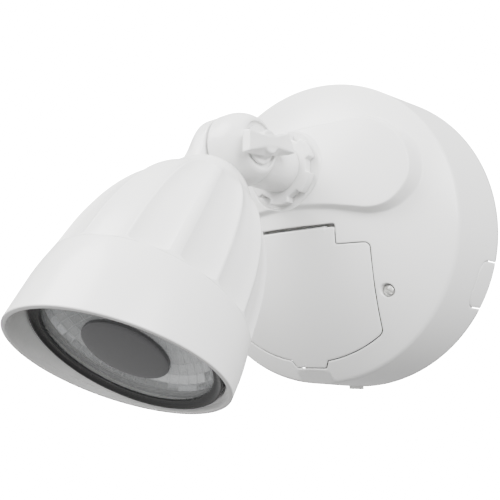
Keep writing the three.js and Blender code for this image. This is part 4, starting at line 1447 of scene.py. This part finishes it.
def bowl_section():
    """Radius and distance of the reflector's rings."""
    steps = np.arange(REFLECTOR_RINGS + 1) / REFLECTOR_RINGS
    return [(11 + 22.6 * math.sin(t * math.pi / 2) ** 0.9, 88.0 + 15.5 * t) for t in steps]


def build_reflector(place):
    """Chromed bowl made of flat facets, with a fine ridge along each of their edges. The facets' colour is
    painted near black: a painted dark reflection of the surround that the chrome mirrors.
    """
    section = bowl_section()
    outer = [(min(r + 1.0, BOWL_RIM), u - 0.9) for r, u in reversed(section)]
    rows = section + [(BOWL_RIM, section[-1][1])] + outer
    points, faces = turned_mesh(rows, REFLECTOR_SPOKES)
    # the bowl's near-black finish is a painted dark reflection, not the chrome's own colour
    bowl = make_piece("chrome_bowl", points, faces, place, sharp=1)
    fit_out(bowl, "head", "reflector_chrome", "reflector")
    points, faces = [], []
    for spoke in range(REFLECTOR_SPOKES):
        angle = 2 * math.pi * spoke / REFLECTOR_SPOKES
        points += [(r * math.cos(angle), u, r * math.sin(angle)) for r, u in section]
    rings = len(section)
    for spoke in range(REFLECTOR_SPOKES):
        left, right = spoke * rings, (spoke + 1) % REFLECTOR_SPOKES * rings
        faces += [(left + i, left + i + 1, right + i + 1, right + i) for i in range(rings - 1)]
    forward = head_frame().to_3x3() @ Vector((0, 1, 0))
    ridges = make_piece("bowl_ridges", points, faces, place, sharp=1, outward=forward)
    lattice = ridges.modifiers.new("lattice", "WIREFRAME")
    lattice.thickness = RIDGE * MM
    lattice.use_even_offset = False
    apply_modifiers(ridges)
    fit_out(ridges, "head", "reflector_chrome", "reflector", finish="reflector_ridge")


# ---------------------------------------------------------------- what stays as CAD
KEPT_FINISHES = {
    "ground_screw": "green_screw",
    "door_seal": "black_rubber",
    "control_tray": "white_inner",
    "control_board": "green_board",
    "brightness_switch_body": "black_component",
    "colour_switch_body": "black_component",
    "brightness_slider": "grey_nylon",
    "colour_slider": "grey_nylon",
    "driver_case": "grey_nylon",
    "driver_board": "green_board",
    "driver_transformer": "transformer_tape",
    "driver_capacitor": "black_component",
    "driver_choke": "copper_winding",
    "terminal_block": "terminal_nylon",
    "wire_bushing": "grey_nylon",
    "hinge_nut": "zinc_steel",
    "heat_spreader": "spreader_aluminium",
    "led_board": "white_board",
    "led_chip": "phosphor",
}


def finish_inner_parts():
    for name, slot in KEPT_FINISHES.items():
        node = frame["nodes"][name]
        if not node.material_slots:
            raise RuntimeError(f"{name} has no material slot")
        for place in node.material_slots:
            place.material = finish_of(slot)


# ---------------------------------------------------------------- the studio
FRAME_WIDTH = 36.0
AIM = Vector((0.0, -0.095, -0.002))


def camera_turn(azimuth, elevation, roll):
    back = Vector((
        math.sin(azimuth) * math.cos(elevation), -math.cos(azimuth) * math.cos(elevation), math.sin(elevation)
    ))
    right = Vector((math.cos(azimuth), math.sin(azimuth), 0))
    up = back.cross(right)
    turned_right = right * math.cos(roll) + up * math.sin(roll)
    turned_up = up * math.cos(roll) - right * math.sin(roll)
    return Matrix((turned_right, turned_up, back)).transposed().to_4x4()


def area_light(name, place, aim, size, power, colour=(1, 1, 1)):
    data = bpy.data.lights.new(name, "AREA")
    data.shape = "DISK"
    data.size = size
    data.energy = power
    data.color = colour
    light = bpy.data.objects.new(name, data)
    place = Vector(place)
    turn = (Vector(aim) - place).to_track_quat("-Z", "Y")
    light.matrix_world = Matrix.Translation(place) @ turn.to_matrix().to_4x4()
    bpy.context.scene.collection.objects.link(light)


CAMERA_PLACE = (0.17728, -0.32624, -0.05464)
FLOOR_HALF = 1400  # half of the floor's side
KEY_PLACE = (-0.55, -0.9, 1.1)
KEY_SIZE = 1.1
KEY_COLOUR = (1.0, 0.995, 0.99)
FILL_PLACE = (0.95, -0.55, 0.5)
FILL_SIZE = 0.8
FILL_COLOUR = (0.99, 0.99, 1.0)
BACKDROP_STRENGTH = 24.0
SURROUND_LOW = 0.12
SURROUND_HIGH = 2.4


def build_stage():
    s = settings().stage
    data = bpy.data.cameras.new("camera")
    data.lens = s.lens
    data.sensor_width = FRAME_WIDTH
    camera = bpy.data.objects.new("camera", data)
    camera.matrix_world = Matrix.Translation(CAMERA_PLACE) @ camera_turn(s.azimuth, s.elevation, s.roll)
    bpy.context.scene.collection.objects.link(camera)
    bpy.context.scene.camera = camera
    corners = [(-FLOOR_HALF, -FLOOR_HALF, 0), (FLOOR_HALF, -FLOOR_HALF, 0)]
    corners += [(FLOOR_HALF, FLOOR_HALF, 0), (-FLOOR_HALF, FLOOR_HALF, 0)]
    place = Matrix.Translation((0, 0, -s.floor_drop))
    floor = make_piece("floor", corners, [(0, 1, 2, 3)], place, outward=(0, 0, 1))
    floor.data.materials.append(floor_finish())
    floor.visible_diffuse = False
    floor.visible_glossy = False
    bpy.context.scene.world = studio_world()
    area_light("key", KEY_PLACE, AIM, KEY_SIZE, s.key_power, KEY_COLOUR)
    area_light("fill", FILL_PLACE, AIM, FILL_SIZE, s.fill_power, FILL_COLOUR)


def studio_world():
    """White surround that is bright behind the lamp and lights it softly, more from above than from below."""
    world = bpy.data.worlds.new("studio")
    world.use_nodes = True
    nodes, links = world.node_tree.nodes, world.node_tree.links
    place = nodes.new("ShaderNodeTexCoord").outputs["Generated"]
    split = nodes.new("ShaderNodeSeparateXYZ")
    links.new(place, split.inputs["Vector"])
    ramp = nodes.new("ShaderNodeMapRange")
    ramp.inputs["From Min"].default_value = -1.0
    ramp.inputs["To Min"].default_value = SURROUND_LOW
    ramp.inputs["To Max"].default_value = SURROUND_HIGH
    links.new(split.outputs["Z"], ramp.inputs["Value"])
    soft = nodes["Background"]
    soft.inputs["Color"].default_value = (1, 1, 1, 1)
    links.new(ramp.outputs["Result"], soft.inputs["Strength"])
    bright = nodes.new("ShaderNodeBackground")
    bright.inputs["Color"].default_value = (1, 1, 1, 1)
    bright.inputs["Strength"].default_value = BACKDROP_STRENGTH
    rays = nodes.new("ShaderNodeLightPath").outputs["Is Camera Ray"]
    mix = nodes.new("ShaderNodeMixShader")
    links.new(rays, mix.inputs["Fac"])
    links.new(soft.outputs["Background"], mix.inputs[1])
    links.new(bright.outputs["Background"], mix.inputs[2])
    links.new(mix.outputs["Shader"], nodes["World Output"].inputs["Surface"])
    return world


def floor_finish():
    return moulded("pale_floor", (0.82, 0.82, 0.82), 0.6, vary=0.01, grain=200.0, relief=0.02)


# ---------------------------------------------------------------- operators
class FLOODLIGHT_OT_base(bpy.types.Operator):
    """Domed wall base with its boss, door opening, screw recesses and knock-outs"""

    bl_idname = "floodlight.base"
    bl_label = "Wall base"

    def execute(self, context):
        build_base()
        return {"FINISHED"}


class FLOODLIGHT_OT_door(bpy.types.Operator):
    """Flush door with its hinge barrel"""

    bl_idname = "floodlight.door"
    bl_label = "Door"

    def execute(self, context):
        build_door()
        return {"FINISHED"}


class FLOODLIGHT_OT_screws(bpy.types.Operator):
    """Slotted cover screws"""

    bl_idname = "floodlight.cover_screws"
    bl_label = "Cover screws"

    def execute(self, context):
        build_cover_screws()
        return {"FINISHED"}


class FLOODLIGHT_OT_back(bpy.types.Operator):
    """Mounting plate and foam ring on the wall side"""

    bl_idname = "floodlight.back"
    bl_label = "Back plate"

    def execute(self, context):
        build_back()
        return {"FINISHED"}


class FLOODLIGHT_OT_arm(bpy.types.Operator):
    """Arm with its round lug"""

    bl_idname = "floodlight.arm"
    bl_label = "Arm"

    def execute(self, context):
        build_knuckle()
        return {"FINISHED"}


class FLOODLIGHT_OT_lock_nut(bpy.types.Operator):
    """Scalloped ring nut and its washer"""

    bl_idname = "floodlight.lock_nut"
    bl_label = "Ring nut"

    def execute(self, context):
        build_lock_nut()
        return {"FINISHED"}


class FLOODLIGHT_OT_wing_screw(bpy.types.Operator):
    """Wing screw that clamps the tilt hinge"""

    bl_idname = "floodlight.wing_screw"
    bl_label = "Wing screw"

    def execute(self, context):
        build_wing_screw()
        return {"FINISHED"}


class FLOODLIGHT_OT_bell(bpy.types.Operator):
    """Fluted bell with its neck and ear"""

    bl_idname = "floodlight.bell"
    bl_label = "Bell"

    def execute(self, context):
        build_bell()
        build_neck()
        return {"FINISHED"}


class FLOODLIGHT_OT_shroud(bpy.types.Operator):
    """Smooth collar with its slanted rim"""

    bl_idname = "floodlight.shroud"
    bl_label = "Shroud"

    def execute(self, context):
        build_shroud()
        return {"FINISHED"}


class FLOODLIGHT_OT_lens(bpy.types.Operator):
    """Reflector, lens, smoked disc, retaining ring and seal"""

    bl_idname = "floodlight.lens"
    bl_label = "Lens and reflector"

    def execute(self, context):
        build_lens()
        return {"FINISHED"}


class FLOODLIGHT_OT_inner(bpy.types.Operator):
    """Finishes of the parts inside the base and the head"""

    bl_idname = "floodlight.inner"
    bl_label = "Inner finishes"

    def execute(self, context):
        finish_inner_parts()
        return {"FINISHED"}


class FLOODLIGHT_OT_stage(bpy.types.Operator):
    """Camera, floor and studio light"""

    bl_idname = "floodlight.stage"
    bl_label = "Stage"

    def execute(self, context):
        build_stage()
        return {"FINISHED"}


OPERATORS = (
    FLOODLIGHT_OT_stage,
    FLOODLIGHT_OT_base,
    FLOODLIGHT_OT_door,
    FLOODLIGHT_OT_screws,
    FLOODLIGHT_OT_back,
    FLOODLIGHT_OT_arm,
    FLOODLIGHT_OT_lock_nut,
    FLOODLIGHT_OT_wing_screw,
    FLOODLIGHT_OT_bell,
    FLOODLIGHT_OT_shroud,
    FLOODLIGHT_OT_lens,
    FLOODLIGHT_OT_inner,
)


class FLOODLIGHT_PT_panel(bpy.types.Panel):
    """Lists the floodlight's settings and the pieces to build"""

    bl_idname = "FLOODLIGHT_PT_panel"
    bl_label = "Floodlight"
    bl_space_type = "VIEW_3D"
    bl_region_type = "UI"
    bl_category = "Floodlight"

    def draw(self, context):
        groups = context.scene.floodlight
        for name in ("base", "arm", "head", "finish", "stage"):
            group = getattr(groups, name)
            box = self.layout.box()
            box.label(text=name.capitalize())
            for setting in group.__annotations__:
                box.prop(group, setting)
        for operator in OPERATORS:
            self.layout.operator(operator.bl_idname)


CLASSES = (
    BaseSizes, ArmSizes, HeadSizes, FinishSettings, StageSettings, FloodlightSettings, *OPERATORS,
    FLOODLIGHT_PT_panel,
)


def register():
    for item in CLASSES:
        bpy.utils.register_class(item)
    bpy.types.Scene.floodlight = PointerProperty(type=FloodlightSettings)


def unregister():
    del bpy.types.Scene.floodlight
    for item in reversed(CLASSES):
        bpy.utils.unregister_class(item)


def main():
    register()
    for operator in OPERATORS:
        group, name = operator.bl_idname.split(".")
        getattr(getattr(bpy.ops, group), name)()


if __name__ == "__main__":
    main()
